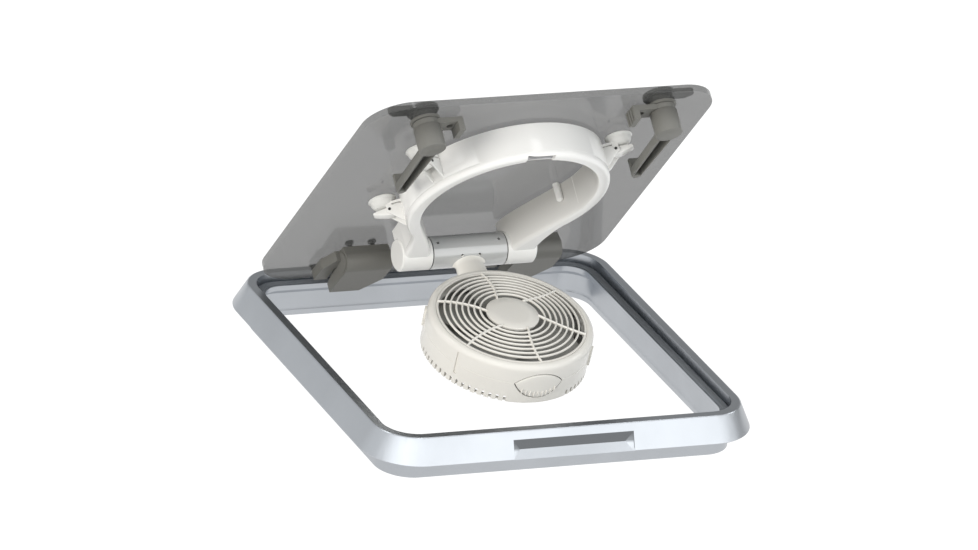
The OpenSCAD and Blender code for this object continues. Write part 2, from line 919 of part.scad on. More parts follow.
module friction_washers() {
    color([0.25, 0.25, 0.26])
    on_lid()
        at_tube()
            for (side = [-1, 1])
                translate([side * (sleeve_in - washer_t / 2) - washer_t / 2, 0, 0])
                    rotate([0, 90, 0])
                        difference() {
                            cylinder(r = tube_r - overrun, h = washer_t);
                            translate([0, 0, -overrun])
                                cylinder(r = spindle_tube_r + run_gap, h = washer_t + 2 * overrun);
                        }
}

// Places children drawn in the fan's own frame: X, outwards from the tube, away from the grille
module on_fan()
    on_lid()
        at_tube()
            rotate([fan_angle, 0, 0])
                children();

module pivot_tube() {
    color([0.93, 0.92, 0.9])
    on_fan()
        difference() {
            rotate([0, 90, 0])
                cylinder(r = tube_r, h = 2 * tube_half, center = true);
            rotate([0, 90, 0])
                cylinder(r = spindle_tube_r + run_gap, h = 3 * tube_half, center = true);
            for (spot = tube_screw_spots)
                tube_screw_place(spot)
                    translate([0, 0, -tube_screw_deep])
                        cylinder(r = tube_screw_r, h = tube_screw_deep + overrun);
        }
}

// Four screws in the face of the tube that the folded-out fan shows
tube_screw_r = 1.8;
tube_screw_deep = 8;
tube_screw_long = 6;
tube_screw_wide = 34;
tube_screw_near = 12;
tube_screw_spots = [[-tube_screw_wide, -150], [tube_screw_wide, -150],
                    [-tube_screw_near, -112], [tube_screw_near, -112]];
module tube_screw_place(spot)
    translate([spot[0], 0, 0])
        rotate([spot[1] - 90, 0, 0])
            translate([0, 0, tube_r])
                children();

module tube_screws() {
    color([0.35, 0.35, 0.36])
    on_fan()
        for (spot = tube_screw_spots)
            tube_screw_place(spot)
                translate([0, 0, -tube_screw_deep])
                    cylinder(r = tube_screw_r, h = tube_screw_long);
}

// Neck: a tapered socket between the tube and the housing
neck_start = 9.5;
neck_short = 7.6;
neck_into = 6;
neck_r_tube = 15;
neck_r_head = 20;
neck_shift = 4;
head_front = -7.9;
head_back = head_front + head_h;
neck_axis = (head_front + head_back) / 2;
module fan_neck() {
    color([0.9, 0.88, 0.85])
    on_fan()
        difference() {
            translate([0, neck_start, 0])
                hull() {
                    translate([0, 0, neck_shift])
                        rotate([-90, 0, 0])
                            cylinder(r = neck_r_tube, h = neck_short);
                    translate([0, reach - head_r - neck_start + neck_into, neck_axis])
                        rotate([-90, 0, 0])
                            cylinder(r = neck_r_head, h = overrun);
                }
            rotate([0, 90, 0])
                cylinder(r = tube_r, h = 3 * tube_half, center = true);
            translate([0, reach, head_front - overrun])
                cylinder(r = head_r, h = head_h + 2 * overrun);
        }
}

// Fan housing: a drum with a rounded front, a row of outlet slots and a thumb recess
housing_wall = 3;
front_round = 7;
grille_r = head_r - front_rim_w;
front_lip = 2;
slot_w = 3.2;
slot_pitch = 5;
slot_h = 9;
slot_edge = 2.2;
module at_head()
    translate([0, reach, 0])
        children();

button_turn = 88;
button_half = 30;
button_low = 13;
button_high = 46;
module fan_housing() {
    color([0.87, 0.86, 0.83])
    on_fan()
        at_head()
            difference() {
                translate([0, 0, head_front])
                    rotate_extrude()
                        difference() {
                            union() {
                                translate([grille_r, 0])
                                    square([head_r - front_round - grille_r + overrun, head_h]);
                                translate([head_r - front_round, front_round])
                                    circle(front_round);
                                translate([grille_r, front_round])
                                    square([head_r - grille_r, head_h - front_round]);
                                translate([grille_r, 0])
                                    square([head_r - front_round - grille_r, front_round]);
                            }
                            translate([0, front_round + front_lip])
                                square([head_r - housing_wall, head_h]);
                            square([grille_r, head_h]);
                            translate([head_r - seam_deep, seam_low])
                                square([2 * seam_deep, seam_w]);
                        }
                for (turn = slot_turns)
                    rotate([0, 0, turn])
                        translate([head_r - 2 * housing_wall, -slot_w / 2, head_back - slot_h])
                            cube([4 * housing_wall, slot_w, slot_h - slot_edge]);
                rotate([0, 0, button_turn])
                    button_cut(seat_gap);
                rotate([0, 0, notch_turn])
                    translate([head_r - notch_deep, -notch_w / 2, head_front + notch_low])
                        cube([2 * notch_deep, notch_w, notch_h]);
            }
}
seam_deep = 0.8;
seam_low = 23;
seam_w = 1;
notch_turn = 150;
notch_deep = 1.5;
notch_w = 3.2;
notch_low = 7;
notch_h = 30;
slot_turns = concat([for (i = [0:15]) 112 + i * slot_pitch], [for (i = [0:15]) 64 - i * slot_pitch]);

// Half-moon cut for the speed button
module button_cut(gap) {
    radius = button_half + gap;
    translate([0, 0, head_front + button_low - gap])
        rotate([0, 90, 0])
            rotate([0, 0, 90])
                linear_extrude(2 * head_r)
                    intersection() {
                        circle(radius);
                        translate([-radius, 0])
                            square([2 * radius, button_high - button_low + 2 * gap]);
                    }
}

button_stand = 1.2;
button_t = 4.5;
module speed_button() {
    color([0.84, 0.83, 0.8])
    on_fan()
        at_head()
            rotate([0, 0, button_turn])
                intersection() {
                    button_cut(0);
                    difference() {
                        translate([0, 0, head_front])
                            cylinder(r = head_r + button_stand, h = head_h);
                        translate([0, 0, head_front - overrun])
                            cylinder(r = head_r + button_stand - button_t, h = head_h + 2 * overrun);
                    }
                }
}

// Front grille: domed rings and curved spokes
grille_dome = 6.75;
grille_t = 2.2;
ring_w = 1.8;
spoke_w = 2.4;
grille_rim = 2.5;
grille_under = 0.4;
grille_fit_r = grille_r - fine_gap;
function dome_at(r) = -grille_dome * (1 - pow(r / grille_r, 2)) / (1 - pow(badge_r / grille_r, 2)) ;

module grille_rings(outer, inner, count, width, thick) {
    rim = grille_rim;
    translate([outer - rim, dome_at(outer)])
        square([rim, thick]);
    for (i = [1:count]) {
        r = inner + (outer - rim - inner) * i / (count + 1);
        translate([r - width / 2, dome_at(r)])
            square([width, thick]);
    }
}

// A spoke seen from the front: a strip of a circle's arc from the hub to the rim
spoke_lag = 13;
spoke_bow_share = 0.09;
module spoke_outline(inner, outer) {
    a = [inner * cos(-spoke_lag), inner * sin(-spoke_lag)];
    b = [outer, 0];
    mid = (a + b) / 2;
    span = norm(b - a);
    normal = [-(b - a)[1], (b - a)[0]] / span;
    bow = span * spoke_bow_share;
    arc_r = span * span / (8 * bow) + bow / 2;
    centre = mid - normal * (arc_r - bow);
    intersection() {
        difference() {
            translate(centre)
                circle(arc_r + spoke_w / 2);
            translate(centre)
                circle(arc_r - spoke_w / 2);
        }
        difference() {
            circle(outer);
            circle(inner);
        }
        translate([0, -outer])
            square(2 * outer);
    }
}

spoke_first = 28.3;
dome_steps = 8;
function dome_point(t, up) =
    let (r = spoke_in + (spoke_end - spoke_in) * t) [r, dome_at(r) + up];
spoke_in = badge_r - ring_w / 2;
spoke_end = grille_fit_r - grille_rim / 2;
module front_grille() {
    color([0.89, 0.88, 0.85])
    on_fan()
        at_head()
            translate([0, 0, head_front]) {
                rotate_extrude()
                    grille_rings(grille_fit_r, badge_r, rings, ring_w, grille_t);
                intersection() {
                    rotate_extrude()
                        polygon(concat(
                            [for (i = [0:dome_steps]) dome_point(i / dome_steps, -grille_under)],
                            [for (i = [dome_steps:-1:0]) dome_point(i / dome_steps, grille_t)]));
                    translate([0, 0, -2 * grille_dome])
                        linear_extrude(4 * grille_dome)
                            for (i = [0:spokes - 1])
                                rotate([0, 0, spoke_first + i * 360 / spokes])
                                    spoke_outline(spoke_in, spoke_end);
                }
                translate([0, 0, -grille_dome])
                    difference() {
                        cylinder(r = badge_r, h = grille_t);
                        translate([0, 0, -overrun])
                            cylinder(r = badge_r - ring_w, h = grille_t + 2 * overrun);
                    }
            }
}

badge_stand = 0.6;
module grille_badge() {
    color([0.88, 0.87, 0.84])
    on_fan()
        at_head()
            translate([0, 0, head_front - grille_dome - badge_stand])
                cylinder(r = badge_r - ring_w - fine_gap, h = grille_t + badge_stand);
}

// Rear guard: rings, straight spokes and the motor's seat
guard_t = 2.4;
guard_r = head_r - housing_wall - fine_gap;
motor_r = 21;
motor_h = 24;
guard_rings = 8;
guard_spoke_half = 1.3;
guard_spoke_in = 0.3;
module rear_guard() {
    color([0.86, 0.85, 0.82])
    on_fan()
        at_head()
            translate([0, 0, head_back - guard_t]) {
                rotate_extrude() {
                    for (i = [1:guard_rings])
                        translate([motor_r + (guard_r - motor_r) * i / guard_rings - ring_w, 0])
                            square([ring_w, guard_t]);
                    translate([shaft_r + 2 * run_gap, 0])
                        square([motor_r + overrun - shaft_r - 2 * run_gap, guard_t]);
                }
                for (i = [0:spokes - 1])
                    rotate([0, 0, (2 * i + 1) * 180 / spokes])
                        translate([motor_r, -guard_spoke_half, guard_spoke_in])
                            cube([guard_r - motor_r - ring_w / 2, 2 * guard_spoke_half,
                                  guard_t - 2 * guard_spoke_in]);
            }
}

shaft_r = 1.5;
motor_top = head_back - guard_t;
module motor_can() {
    color([0.6, 0.61, 0.62])
    on_fan()
        at_head()
            translate([0, 0, motor_top - motor_h])
                difference() {
                    cylinder(r = motor_r, h = motor_h);
                    translate([0, 0, -overrun])
                        cylinder(r = bearing_r, h = motor_h + 2 * overrun);
                }
}

bearing_r = 4;
bearing_t = 3;
module motor_bearings() {
    color([0.7, 0.7, 0.72])
    on_fan()
        at_head()
            for (z = [motor_top - motor_h, motor_top - bearing_t])
                translate([0, 0, z])
                    difference() {
                        cylinder(r = bearing_r, h = bearing_t);
                        translate([0, 0, -overrun])
                            cylinder(r = shaft_r + run_gap, h = bearing_t + 2 * overrun);
                    }
}

board_t = 1.6;
board_w = 36;
board_d = 10;
board_r = sqrt(pow(head_r - housing_wall - seat_gap, 2) - pow(board_w / 2, 2)) - board_d;
module circuit_board() {
    color([0.15, 0.4, 0.25])
    on_fan()
        at_head()
            rotate([0, 0, button_turn])
                translate([board_r, -board_w / 2, motor_top - board_t - seat_gap])
                    cube([board_d, board_w, board_t]);
}

// Push switch on the board, behind the speed button
switch_w = 7;
switch_h = 9;
button_travel = 1;
module push_switch() {
    body_r = head_r + button_stand - button_t - button_travel - seat_gap;
    color([0.2, 0.2, 0.2])
    on_fan()
        at_head()
            rotate([0, 0, button_turn])
                translate([body_r - switch_w, -switch_w / 2, motor_top - board_t - seat_gap - switch_h])
                    cube([switch_w, switch_w, switch_h]);
}

housing_screw_turns = [30, 150, 270];
module housing_screws() {
    color([0.75, 0.75, 0.77])
    on_fan()
        at_head()
            for (turn = housing_screw_turns)
                rotate([0, 0, turn])
                    translate([guard_r - screw_head_r, 0, head_back])
                        cylinder(r = screw_head_r, h = screw_head_h);
}

// Impeller: hub cup and tilted curved blades
hub_cup_r = 26;
hub_cup_h = 22;
hub_cup_wall = 2.5;
tip_gap = 2.5;
blade_r = grille_r - tip_gap;
blade_low = head_front + housing_wall;
blade_h = 20;
blade_t = 1.6;
blade_tilt = 23;
module impeller() {
    color([0.3, 0.3, 0.31])
    on_fan()
        at_head() {
            difference() {
                translate([0, 0, blade_low])
                    cylinder(r = hub_cup_r, h = hub_cup_h);
                translate([0, 0, blade_low + hub_cup_wall])
                    cylinder(r = hub_cup_r - hub_cup_wall, h = hub_cup_h);
                translate([0, 0, blade_low - overrun])
                    cylinder(r = shaft_r, h = hub_cup_h + 2 * overrun);
            }
            intersection() {
                translate([0, 0, blade_low])
                    difference() {
                        cylinder(r = blade_r, h = blade_h);
                        translate([0, 0, -overrun])
                            cylinder(r = hub_cup_r - overrun, h = blade_h + 2 * overrun);
                    }
                union()
                    for (i = [0:blades - 1])
                        rotate([0, 0, i * 360 / blades])
                            translate([0, 0, blade_low + blade_h / 2])
                                rotate([blade_tilt, 0, 0])
                                    translate([0, -blade_h, -blade_t / 2])
                                        cube([blade_r + overrun, 2 * blade_h, blade_t]);
            }
        }
}

module motor_shaft() {
    color([0.75, 0.75, 0.77])
    on_fan()
        at_head()
            translate([0, 0, blade_low])
                cylinder(r = shaft_r, h = motor_top - blade_low);
}

clip_t = 1.2;
module impeller_clip() {
    color([0.3, 0.3, 0.31])
    on_fan()
        at_head()
            translate([0, 0, blade_low - clip_t])
                cylinder(r = bearing_r, h = clip_t);
}

base_frame();
lid_seal();
hinge_bracket_left();
hinge_bracket_right();
hinge_pins();
bracket_screws();
lid_pane();
hinge_arm_left();
hinge_arm_right();
arm_screws();
latch_bushes();
bush_nuts();
outer_handle_left();
outer_handle_right();
inner_lever_left();
inner_lever_right();
latch_cam_left();
latch_cam_right();
latch_screws_left();
latch_screws_right();
loop_shell();
loop_cover();
loop_clip();
loop_screws();
suction_cups();
foot_pins();
foot_lever_1();
foot_lever_2();
foot_lever_3();
foot_lever_4();
pivot_cap_left();
pivot_cap_right();
power_inlet();
pivot_spindle();
friction_washers();
pivot_tube();
tube_screws();
fan_neck();
fan_housing();
front_grille();
grille_badge();
rear_guard();
motor_can();
motor_bearings();
circuit_board();
housing_screws();
impeller();
motor_shaft();
impeller_clip();
speed_button();
push_switch();
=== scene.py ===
# %% [markdown]
# The looks of a deck hatch with a folding fan.
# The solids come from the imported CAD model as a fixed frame, in metres, with every part in its place.
# This script gives each part its finish, and remakes the parts whose edges and curves want more care.

# %% Load the frame
import json
import math

import bpy
import bmesh
import numpy as np
from mathutils import Matrix, Vector

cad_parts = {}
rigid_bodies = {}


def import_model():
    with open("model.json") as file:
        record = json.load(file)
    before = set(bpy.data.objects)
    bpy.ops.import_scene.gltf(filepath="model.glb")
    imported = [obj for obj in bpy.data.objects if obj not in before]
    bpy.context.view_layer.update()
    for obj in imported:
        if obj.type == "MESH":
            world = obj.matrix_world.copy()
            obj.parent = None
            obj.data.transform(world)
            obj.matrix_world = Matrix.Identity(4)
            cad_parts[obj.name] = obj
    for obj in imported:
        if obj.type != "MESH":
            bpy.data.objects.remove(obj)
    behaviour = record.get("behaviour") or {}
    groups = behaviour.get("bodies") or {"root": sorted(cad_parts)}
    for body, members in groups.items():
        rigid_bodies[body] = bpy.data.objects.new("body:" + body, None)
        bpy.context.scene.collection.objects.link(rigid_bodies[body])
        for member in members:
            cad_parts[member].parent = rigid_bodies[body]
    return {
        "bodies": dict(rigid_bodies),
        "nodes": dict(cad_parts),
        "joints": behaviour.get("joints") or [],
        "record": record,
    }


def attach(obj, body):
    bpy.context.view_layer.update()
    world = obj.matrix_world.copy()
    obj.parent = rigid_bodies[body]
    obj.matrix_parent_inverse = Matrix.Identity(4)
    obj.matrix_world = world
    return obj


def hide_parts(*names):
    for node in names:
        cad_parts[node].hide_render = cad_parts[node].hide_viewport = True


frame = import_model()
scene = bpy.context.scene
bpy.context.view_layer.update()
MM = 0.001
print("bodies:", ", ".join(sorted(frame["bodies"])))


# %% [markdown]
# The camera. A long lens from far away keeps parallel edges parallel, as a catalogue view has them.
# The view is described by where it stands round the hatch, how high, and how much it leans.
# The middle of the frame's top face lands a little below and to the right of the image's middle.

# %% Camera
TURN, LIFT, LEAN = math.radians(-26.77), math.radians(23.96), math.radians(7.53)
HATCH = 450 * MM
PX_PER_HATCH = 397.42
IMAGE = (978, 550)
TOP_Z, TOP_MIDDLE_PX = 53 * MM, (492.61, 341.29)
LENS, SENSOR = 400.0, 36.0

toward = Vector((math.sin(TURN) * math.cos(LIFT), -math.cos(TURN) * math.cos(LIFT), math.sin(LIFT)))
level = Vector((math.cos(TURN), math.sin(TURN), 0))
raised = toward.cross(level)
side_axis = math.cos(LEAN) * level + math.sin(LEAN) * raised
up_axis = math.cos(LEAN) * raised - math.sin(LEAN) * level

offset = Vector((TOP_MIDDLE_PX[0] - IMAGE[0] / 2, TOP_MIDDLE_PX[1] - IMAGE[1] / 2)) * HATCH / PX_PER_HATCH
aim = Vector((0, 0, TOP_Z)) - side_axis * offset.x + up_axis * offset.y
distance = LENS / SENSOR * IMAGE[0] / PX_PER_HATCH * HATCH

camera_data = bpy.data.cameras.new("camera")
camera_data.lens = LENS
camera_data.sensor_width = SENSOR
camera_data.clip_end = 100
camera = bpy.data.objects.new("camera", camera_data)
camera.matrix_world = Matrix.Translation(aim + toward * distance) @ Matrix(
    (side_axis, up_axis, toward)
).transposed().to_4x4()
scene.collection.objects.link(camera)
scene.camera = camera
scene.view_settings.view_transform = "Standard"
print("camera stands", round(distance, 2), "m away")

# %% [markdown]
# Shader maths reads best as plain maths. A signal is the output of one shader node,
# and the usual operators add the Math nodes behind the scenes.


# %% Shader signals
class Signal:
    def __init__(self, tree, socket):
        self.tree, self.socket = tree, socket

    def math(self, operation, *values):
        node = self.tree.nodes.new("ShaderNodeMath")
        node.operation = operation
        for slot, value in zip(node.inputs, values):
            wire(self.tree, slot, value)
        return Signal(self.tree, node.outputs[0])

    def __add__(self, other):
        return self.math("ADD", self, other)

    def __sub__(self, other):
        return self.math("SUBTRACT", self, other)

    def __rsub__(self, other):
        return self.math("SUBTRACT", other, self)

    def __mul__(self, other):
        return self.math("MULTIPLY", self, other)

    def __truediv__(self, other):
        return self.math("DIVIDE", self, other)

    def __abs__(self):
        return self.math("ABSOLUTE", self)

    __radd__, __rmul__ = __add__, __mul__

    def clamped(self):
        """The value, held between 0 and 1."""
        made = self.math("MAXIMUM", self, 0.0)
        made.socket.node.use_clamp = True
        return made

    def ramp(self, start, end):
        """Goes from 0 to 1 as the value goes from start to end."""
        slope = 1 / (end - start)
        return (self * slope - start * slope).clamped()


def wire(tree, slot, value):
    if isinstance(value, Signal):
        tree.links.new(value.socket, slot)
    else:
        slot.default_value = value


class Wiring:
    """A node tree, and one short way to add any node to it."""

    def node(self, kind, settings=None, sockets=None, out=0):
        made = self.tree.nodes.new(kind)
        for name, value in (settings or {}).items():
            if name == "stops":
                ramp = made.color_ramp.elements
                while len(ramp) < len(value):
                    ramp.new(0.5)
                for stop, (at, colour) in zip(ramp, value):
                    stop.position, stop.color = at, colour
            else:
                setattr(made, name, value)
        for name, value in (sockets or {}).items():
            wire(self.tree, made.inputs[name], value)
        return Signal(self.tree, made.outputs[out])

    def dot(self, a, b):
        return self.node("ShaderNodeVectorMath", {"operation": "DOT_PRODUCT"}, {0: a, 1: b}, out="Value")

    def split(self, vector):
        """The three values of a vector."""
        made = self.node("ShaderNodeSeparateXYZ", {}, {0: vector}).socket.node
        return [Signal(self.tree, made.outputs[name]) for name in "XYZ"]


class Finish(Wiring):
    """A material with one Principled shader."""

    def __init__(self, name, **sockets):
        self.material = bpy.data.materials.new(name)
        self.material.use_nodes = True
        self.tree = self.material.node_tree
        self.shader = self.tree.nodes["Principled BSDF"]
        self.place = self.node("ShaderNodeTexCoord", out="Object")
        self.set(**sockets)

    def set(self, **sockets):
        for name, value in sockets.items():
            wire(self.tree, self.shader.inputs[name.replace("_", " ")], value)

    def facing(self):
        return self.node("ShaderNodeTexCoord", out="Normal")

    def noise(self, scale, detail=3.0, rough=0.5, stretch=None):
        where = self.place
        if stretch:
            where = self.node("ShaderNodeMapping", {}, {"Vector": where, "Scale": stretch})
        return self.node(
            "ShaderNodeTexNoise", {}, {"Vector": where, "Scale": scale, "Detail": detail, "Roughness": rough}
        )

    def between(self, mask, a, b):
        """A colour that goes from a to b as the mask goes from 0 to 1."""
        made = self.tree.nodes.new("ShaderNodeMix")
        made.data_type = "RGBA"
        wire(self.tree, made.inputs[0], mask)
        wire(self.tree, made.inputs[6], (*a, 1))
        wire(self.tree, made.inputs[7], (*b, 1))
        return Signal(self.tree, made.outputs[2])

    def bump(self, height, strength, distance):
        self.set(Normal=self.node(
            "ShaderNodeBump", {}, {"Height": height, "Strength": strength, "Distance": distance}, out="Normal"
        ))


def grey(r, g=None, b=None):
    """Colours as seen on a screen, 0 to 255, turned into the linear values that a shader takes."""
    values = (r, r if g is None else g, r if b is None else b)
    return tuple(((v / 255 + 0.055) / 1.055) ** 2.4 if v > 10 else v / 255 / 12.92 for v in values)


# %% [markdown]
# Anodised aluminium for the frame. The real surface is even and satin, with a fine grain from the etching.
# Noise does both. The upper slope of the finger recess looks into its own shade, so its tone is deeper:
# three ramps find it, by how steep it is, how far forward and how high.

# %% Frame metal
metal = Finish("anodised_frame", Metallic=1.0)
cloud = metal.noise(14.0, 4.0)
grain = metal.noise(900.0, 2.0)
metal.set(Roughness=cloud * 0.05 + grain * 0.04 + 0.25)
_, forward, height = metal.split(metal.place)
_, _, upward = metal.split(metal.facing())
recess = upward.ramp(0.44, 0.34) * forward.ramp(-0.19556, -0.20667) * height.ramp(0.0252, 0.0272)
metal.set(Base_Color=metal.between(cloud * 0.3 + recess, grey(199, 203, 208), grey(120, 123, 126)))
metal.bump(grain, 0.10, 0.0004)

# %% [markdown]
# The pane is smoked acrylic: dark, polished, and a little see-through, so the bright floor behind it
# lifts it to a mid grey. Alpha carries the see-through part. Wiping marks only touch the roughness.

# %% Smoked pane
pane = Finish("smoked_pane", Specular_IOR_Level=0.5)
wipe = pane.noise(5.0, 4.0, stretch=(1.0, 6.0, 1.0))
pane.set(Base_Color=pane.between(wipe, grey(84, 85, 84), grey(92, 92, 91)))
pane.set(Roughness=wipe * 0.08 + 0.06, Alpha=0.6)

# %% [markdown]
# Moulded dark plastic for hinges and latches. Its texture is a fine even spark-eroded grain,
# which catches light as a soft sheen and never as a sharp mirror.

# %% Dark plastic
dark = Finish("dark_moulding")
grain = dark.noise(1400.0, 2.0, 0.6)
cloud = dark.noise(30.0, 3.0)
dark.set(Base_Color=dark.between(cloud, grey(114, 113, 108), grey(122, 121, 116)))
dark.set(Roughness=grain * 0.14 + cloud * 0.06 + 0.36)
dark.bump(grain, 0.25, 0.0005)
# The levers' channel floors take a darker copy of the same moulding: painted shade between the side walls.
lever_floor_shade = Finish("lever_floor_painted_shade")
grain = lever_floor_shade.noise(1400.0, 2.0, 0.6)
lever_floor_shade.set(Base_Color=lever_floor_shade.between(grain, grey(84, 83, 80), grey(76, 75, 73)))
lever_floor_shade.set(Roughness=grain * 0.14 + 0.4)
lever_floor_shade.bump(grain, 0.25, 0.0005)

# %% [markdown]
# The loop arm is polished white plastic, and the fan head a slightly warmer one with a softer shine.
# Long shallow waves in the surface, as a moulding has where it cools, keep reflections from looking ruled.


# %% White plastics
def white_plastic(name, light, shade, roughness, wave):
    made = Finish(name, Specular_IOR_Level=0.5)
    cloud = made.noise(18.0, 3.0)
    grain = made.noise(1200.0, 2.0)
    made.set(Base_Color=made.between(cloud, light, shade))
    made.set(Roughness=cloud * 0.05 + grain * 0.04 + roughness)
    made.bump(cloud * wave + grain * (1 - wave), 0.06, 0.0006)
    return made


gloss_white = white_plastic("loop_white", grey(247, 246, 243), grey(243, 242, 238), 0.08, 0.7)
band_white = white_plastic("band_white", grey(247, 246, 243), grey(243, 242, 238), 0.08, 0.7)
# The tube is white plastic too, but its base is a mid grey: painted reflection of the dark pane above it. Its strong
# coat adds a real mirror on top.
tube_white_painted_reflection = white_plastic("tube_white_painted_reflection", grey(196, 197, 196), grey(190, 191, 190), 0.05, 0.7)
tube_white_painted_reflection.set(Coat_Weight=1.0, Coat_Roughness=0.03, Coat_IOR=1.9)
head_white = white_plastic("head_white", grey(241, 238, 231), grey(236, 233, 226), 0.1, 0.4)

# %% [markdown]
# Small finishes: stainless screws with turning marks, grey seal, white suction cups,
# the grey impeller, a plated motor can and the laminate of the little circuit board.


# %% Small finishes
def simple_finish(name, light, shade, roughness, scale, metallic=0.0, depth=0.1):
    made = Finish(name, Metallic=metallic)
    cloud = made.noise(scale, 3.0)
    grain = made.noise(scale * 30, 2.0)
    made.set(Base_Color=made.between(cloud, light, shade))
    made.set(Roughness=cloud * 0.1 + grain * 0.06 + roughness)
    made.bump(grain, depth, 0.0004)
    return made


steel = simple_finish("stainless", grey(190, 190, 192), grey(172, 172, 175), 0.22, 60, 0.9)
seal = simple_finish("seal_rubber", grey(118, 122, 127), grey(108, 112, 117), 0.5, 40, depth=0.3)
cup = simple_finish("cup_rubber", grey(234, 233, 229), grey(226, 226, 222), 0.2, 30)
washer = simple_finish("washer_rubber", grey(58, 58, 60), grey(48, 48, 50), 0.5, 40)
impeller_dark = simple_finish("impeller_plastic", grey(150, 149, 145), grey(140, 140, 136), 0.35, 50)
# Near black for the black screws and pin heads, and also painted shade at the bottom of the drum's gaps.
black_and_painted_shade = simple_finish("screw_black_and_painted_shade", grey(46, 45, 44), grey(38, 38, 37), 0.5, 50)
motor_metal = simple_finish("motor_plating", grey(150, 151, 153), grey(135, 136, 139), 0.3, 60, 0.8)
laminate = simple_finish("board_laminate", grey(44, 96, 62), grey(38, 84, 54), 0.35, 80)

FINISHES = {
    "frame_metal": metal, "seal_rubber": seal, "dark_plastic": dark, "steel": steel, "tinted_pane": pane,
    "white_gloss": gloss_white, "cup_rubber": cup, "washer_rubber": washer, "fan_plastic": head_white,
    "motor_steel": motor_metal, "board": laminate, "impeller_plastic": impeller_dark,
}
slot_of = {entry["node"]: entry["material_slot"] for entry in frame["record"]["subparts"]}
for name, thing in frame["nodes"].items():
    thing.data.materials.clear()
    thing.data.materials.append(FINISHES[slot_of[name]].material)
for name in ("latch_screws_left", "latch_screws_right"):
    frame["nodes"][name].data.materials[0] = dark.material
frame["nodes"]["arm_screws"].data.materials[0] = pane.material
print("finishes:", len(FINISHES))

# %% [markdown]
# Real mouldings and machined parts have no knife edges. A copy of the CAD solid is merged, its flat
# faces are joined, and a small bevel runs along the sharp edges, so that each edge draws a thin highlight.

# %% Softened copies
body_of = {name: body for body, names in frame["record"]["behaviour"]["bodies"].items() for name in names}


BEVEL_ABOVE, SHARP_ABOVE = math.radians(32), math.radians(34)


def soften(node, width, cutter=None, finish=None):
    copy = frame["nodes"][node].copy()
    copy.data = copy.data.copy()
    copy.name = node + "_finished"
    copy.parent = None
    for key in list(copy.keys()):
        del copy[key]
    scene.collection.objects.link(copy)
    mesh = bmesh.new()
    mesh.from_mesh(copy.data)
    bmesh.ops.remove_doubles(mesh, verts=mesh.verts, dist=1e-6)
    bmesh.ops.dissolve_limit(mesh, angle_limit=math.radians(0.6), verts=mesh.verts, edges=mesh.edges)
    mesh.to_mesh(copy.data)
    mesh.free()
    if cutter:
        cut = copy.modifiers.new("cut", "BOOLEAN")
        cut.operation, cut.solver, cut.object = "DIFFERENCE", "EXACT", cutter
    bevel = copy.modifiers.new("edge", "BEVEL")
    bevel.width, bevel.segments, bevel.use_clamp_overlap = width * MM, 2, True
    bevel.limit_method, bevel.angle_limit = "ANGLE", BEVEL_ABOVE
    normals = copy.modifiers.new("normals", "WEIGHTED_NORMAL")
    normals.keep_sharp, normals.weight = True, 60
    copy.data.shade_smooth()
    copy.data.set_sharp_from_angle(angle=SHARP_ABOVE)
    plain = bpy.data.meshes.new_from_object(copy.evaluated_get(bpy.context.evaluated_depsgraph_get()))
    copy.modifiers.clear()
    copy.data = plain
    if finish:
        plain.materials.clear()
        plain.materials.append(finish.material)
    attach(copy, body_of[node])
    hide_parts(node)


# %% [markdown]
# Where things are. The lid has a frame of its own: across, away from the hinge edge, and inwards from the pane.
# The fan has another, whose third direction points away from its grille. The frame's own joints give both places,
# so a piece drawn in millimetres in either of them lands where the CAD has it.

# %% Places
joint = {j["name"]: j for j in frame["joints"]}
OPEN_ANGLE, FAN_ANGLE = 51.2, 62.0
TUBE_V, TUBE_RHO, REACH = 116.0, 33.5, 141.3


def turn_x(degrees):
    return Matrix.Rotation(math.radians(degrees), 4, "X")


def shift(x, y, z):
    return Matrix.Translation((x, y, z))


TUBE = shift(*joint["fan_tilt"]["pos_m"]) @ Matrix.Scale(MM, 4) @ turn_x(180 - OPEN_ANGLE)
LID = TUBE @ shift(0, -TUBE_V, -TUBE_RHO)
FAN = TUBE @ turn_x(FAN_ANGLE)
HEAD = FAN @ shift(0, REACH, 0)
print("fan head at", [round(c, 4) for c in HEAD.translation], "and the joint at", joint["impeller_spin"]["pos_m"])

# %% [markdown]
# Every finished piece goes through the same last steps: it is put in place, its faces are turned outwards,
# it takes its finish, and it rides on its body.


# %% Finished pieces
def outward(mesh, merge=False):
    """Turns a mesh's faces outwards, after joining the points that coincide if asked."""
    work = bmesh.new()
    work.from_mesh(mesh)
    if merge:
        bmesh.ops.remove_doubles(work, verts=work.verts, dist=2e-6)
    bmesh.ops.recalc_face_normals(work, faces=work.faces)
    work.to_mesh(mesh)
    work.free()
    return mesh


def finished(name, mesh, place, finish, body, stands_for=(), sharp=32, merge=True):
    mesh.transform(place)
    outward(mesh, merge)
    mesh.materials.clear()
    mesh.materials.append(finish.material)
    mesh.shade_smooth()
    mesh.set_sharp_from_angle(angle=math.radians(sharp))
    thing = bpy.data.objects.new(name, mesh)
    scene.collection.objects.link(thing)
    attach(thing, body)
    if stands_for:
        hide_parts(*stands_for)


def skin(name, rings, close_rings=True, close_ends=False, loop=False):
    """A mesh through rings of points, each ring joined to the next."""
    count = len(rings[0])
    points = [p for ring in rings for p in ring]
    faces = []
    last = len(rings) if loop else len(rings) - 1
    for i in range(last):
        a, b = i * count, ((i + 1) % len(rings)) * count
        for k in range(count if close_rings else count - 1):
            n = (k + 1) % count
            faces.append((a + k, a + n, b + n, b + k))
    if close_ends:
        faces.append(tuple(range(count)))
        faces.append(tuple(range((len(rings) - 1) * count, len(rings) * count)))
    mesh = bpy.data.meshes.new(name)
    mesh.from_pydata(points, [], faces)
    return mesh


# %% [markdown]
# The loop arm's band is the glossy white strap that runs round the folded fan. Outside it follows one arc, inside
# another, and each sweeps in to the pivot by a curve. At every step along the way the section is a tall
# rectangle whose free rim is well rounded, which is what draws the long bright lines along it.

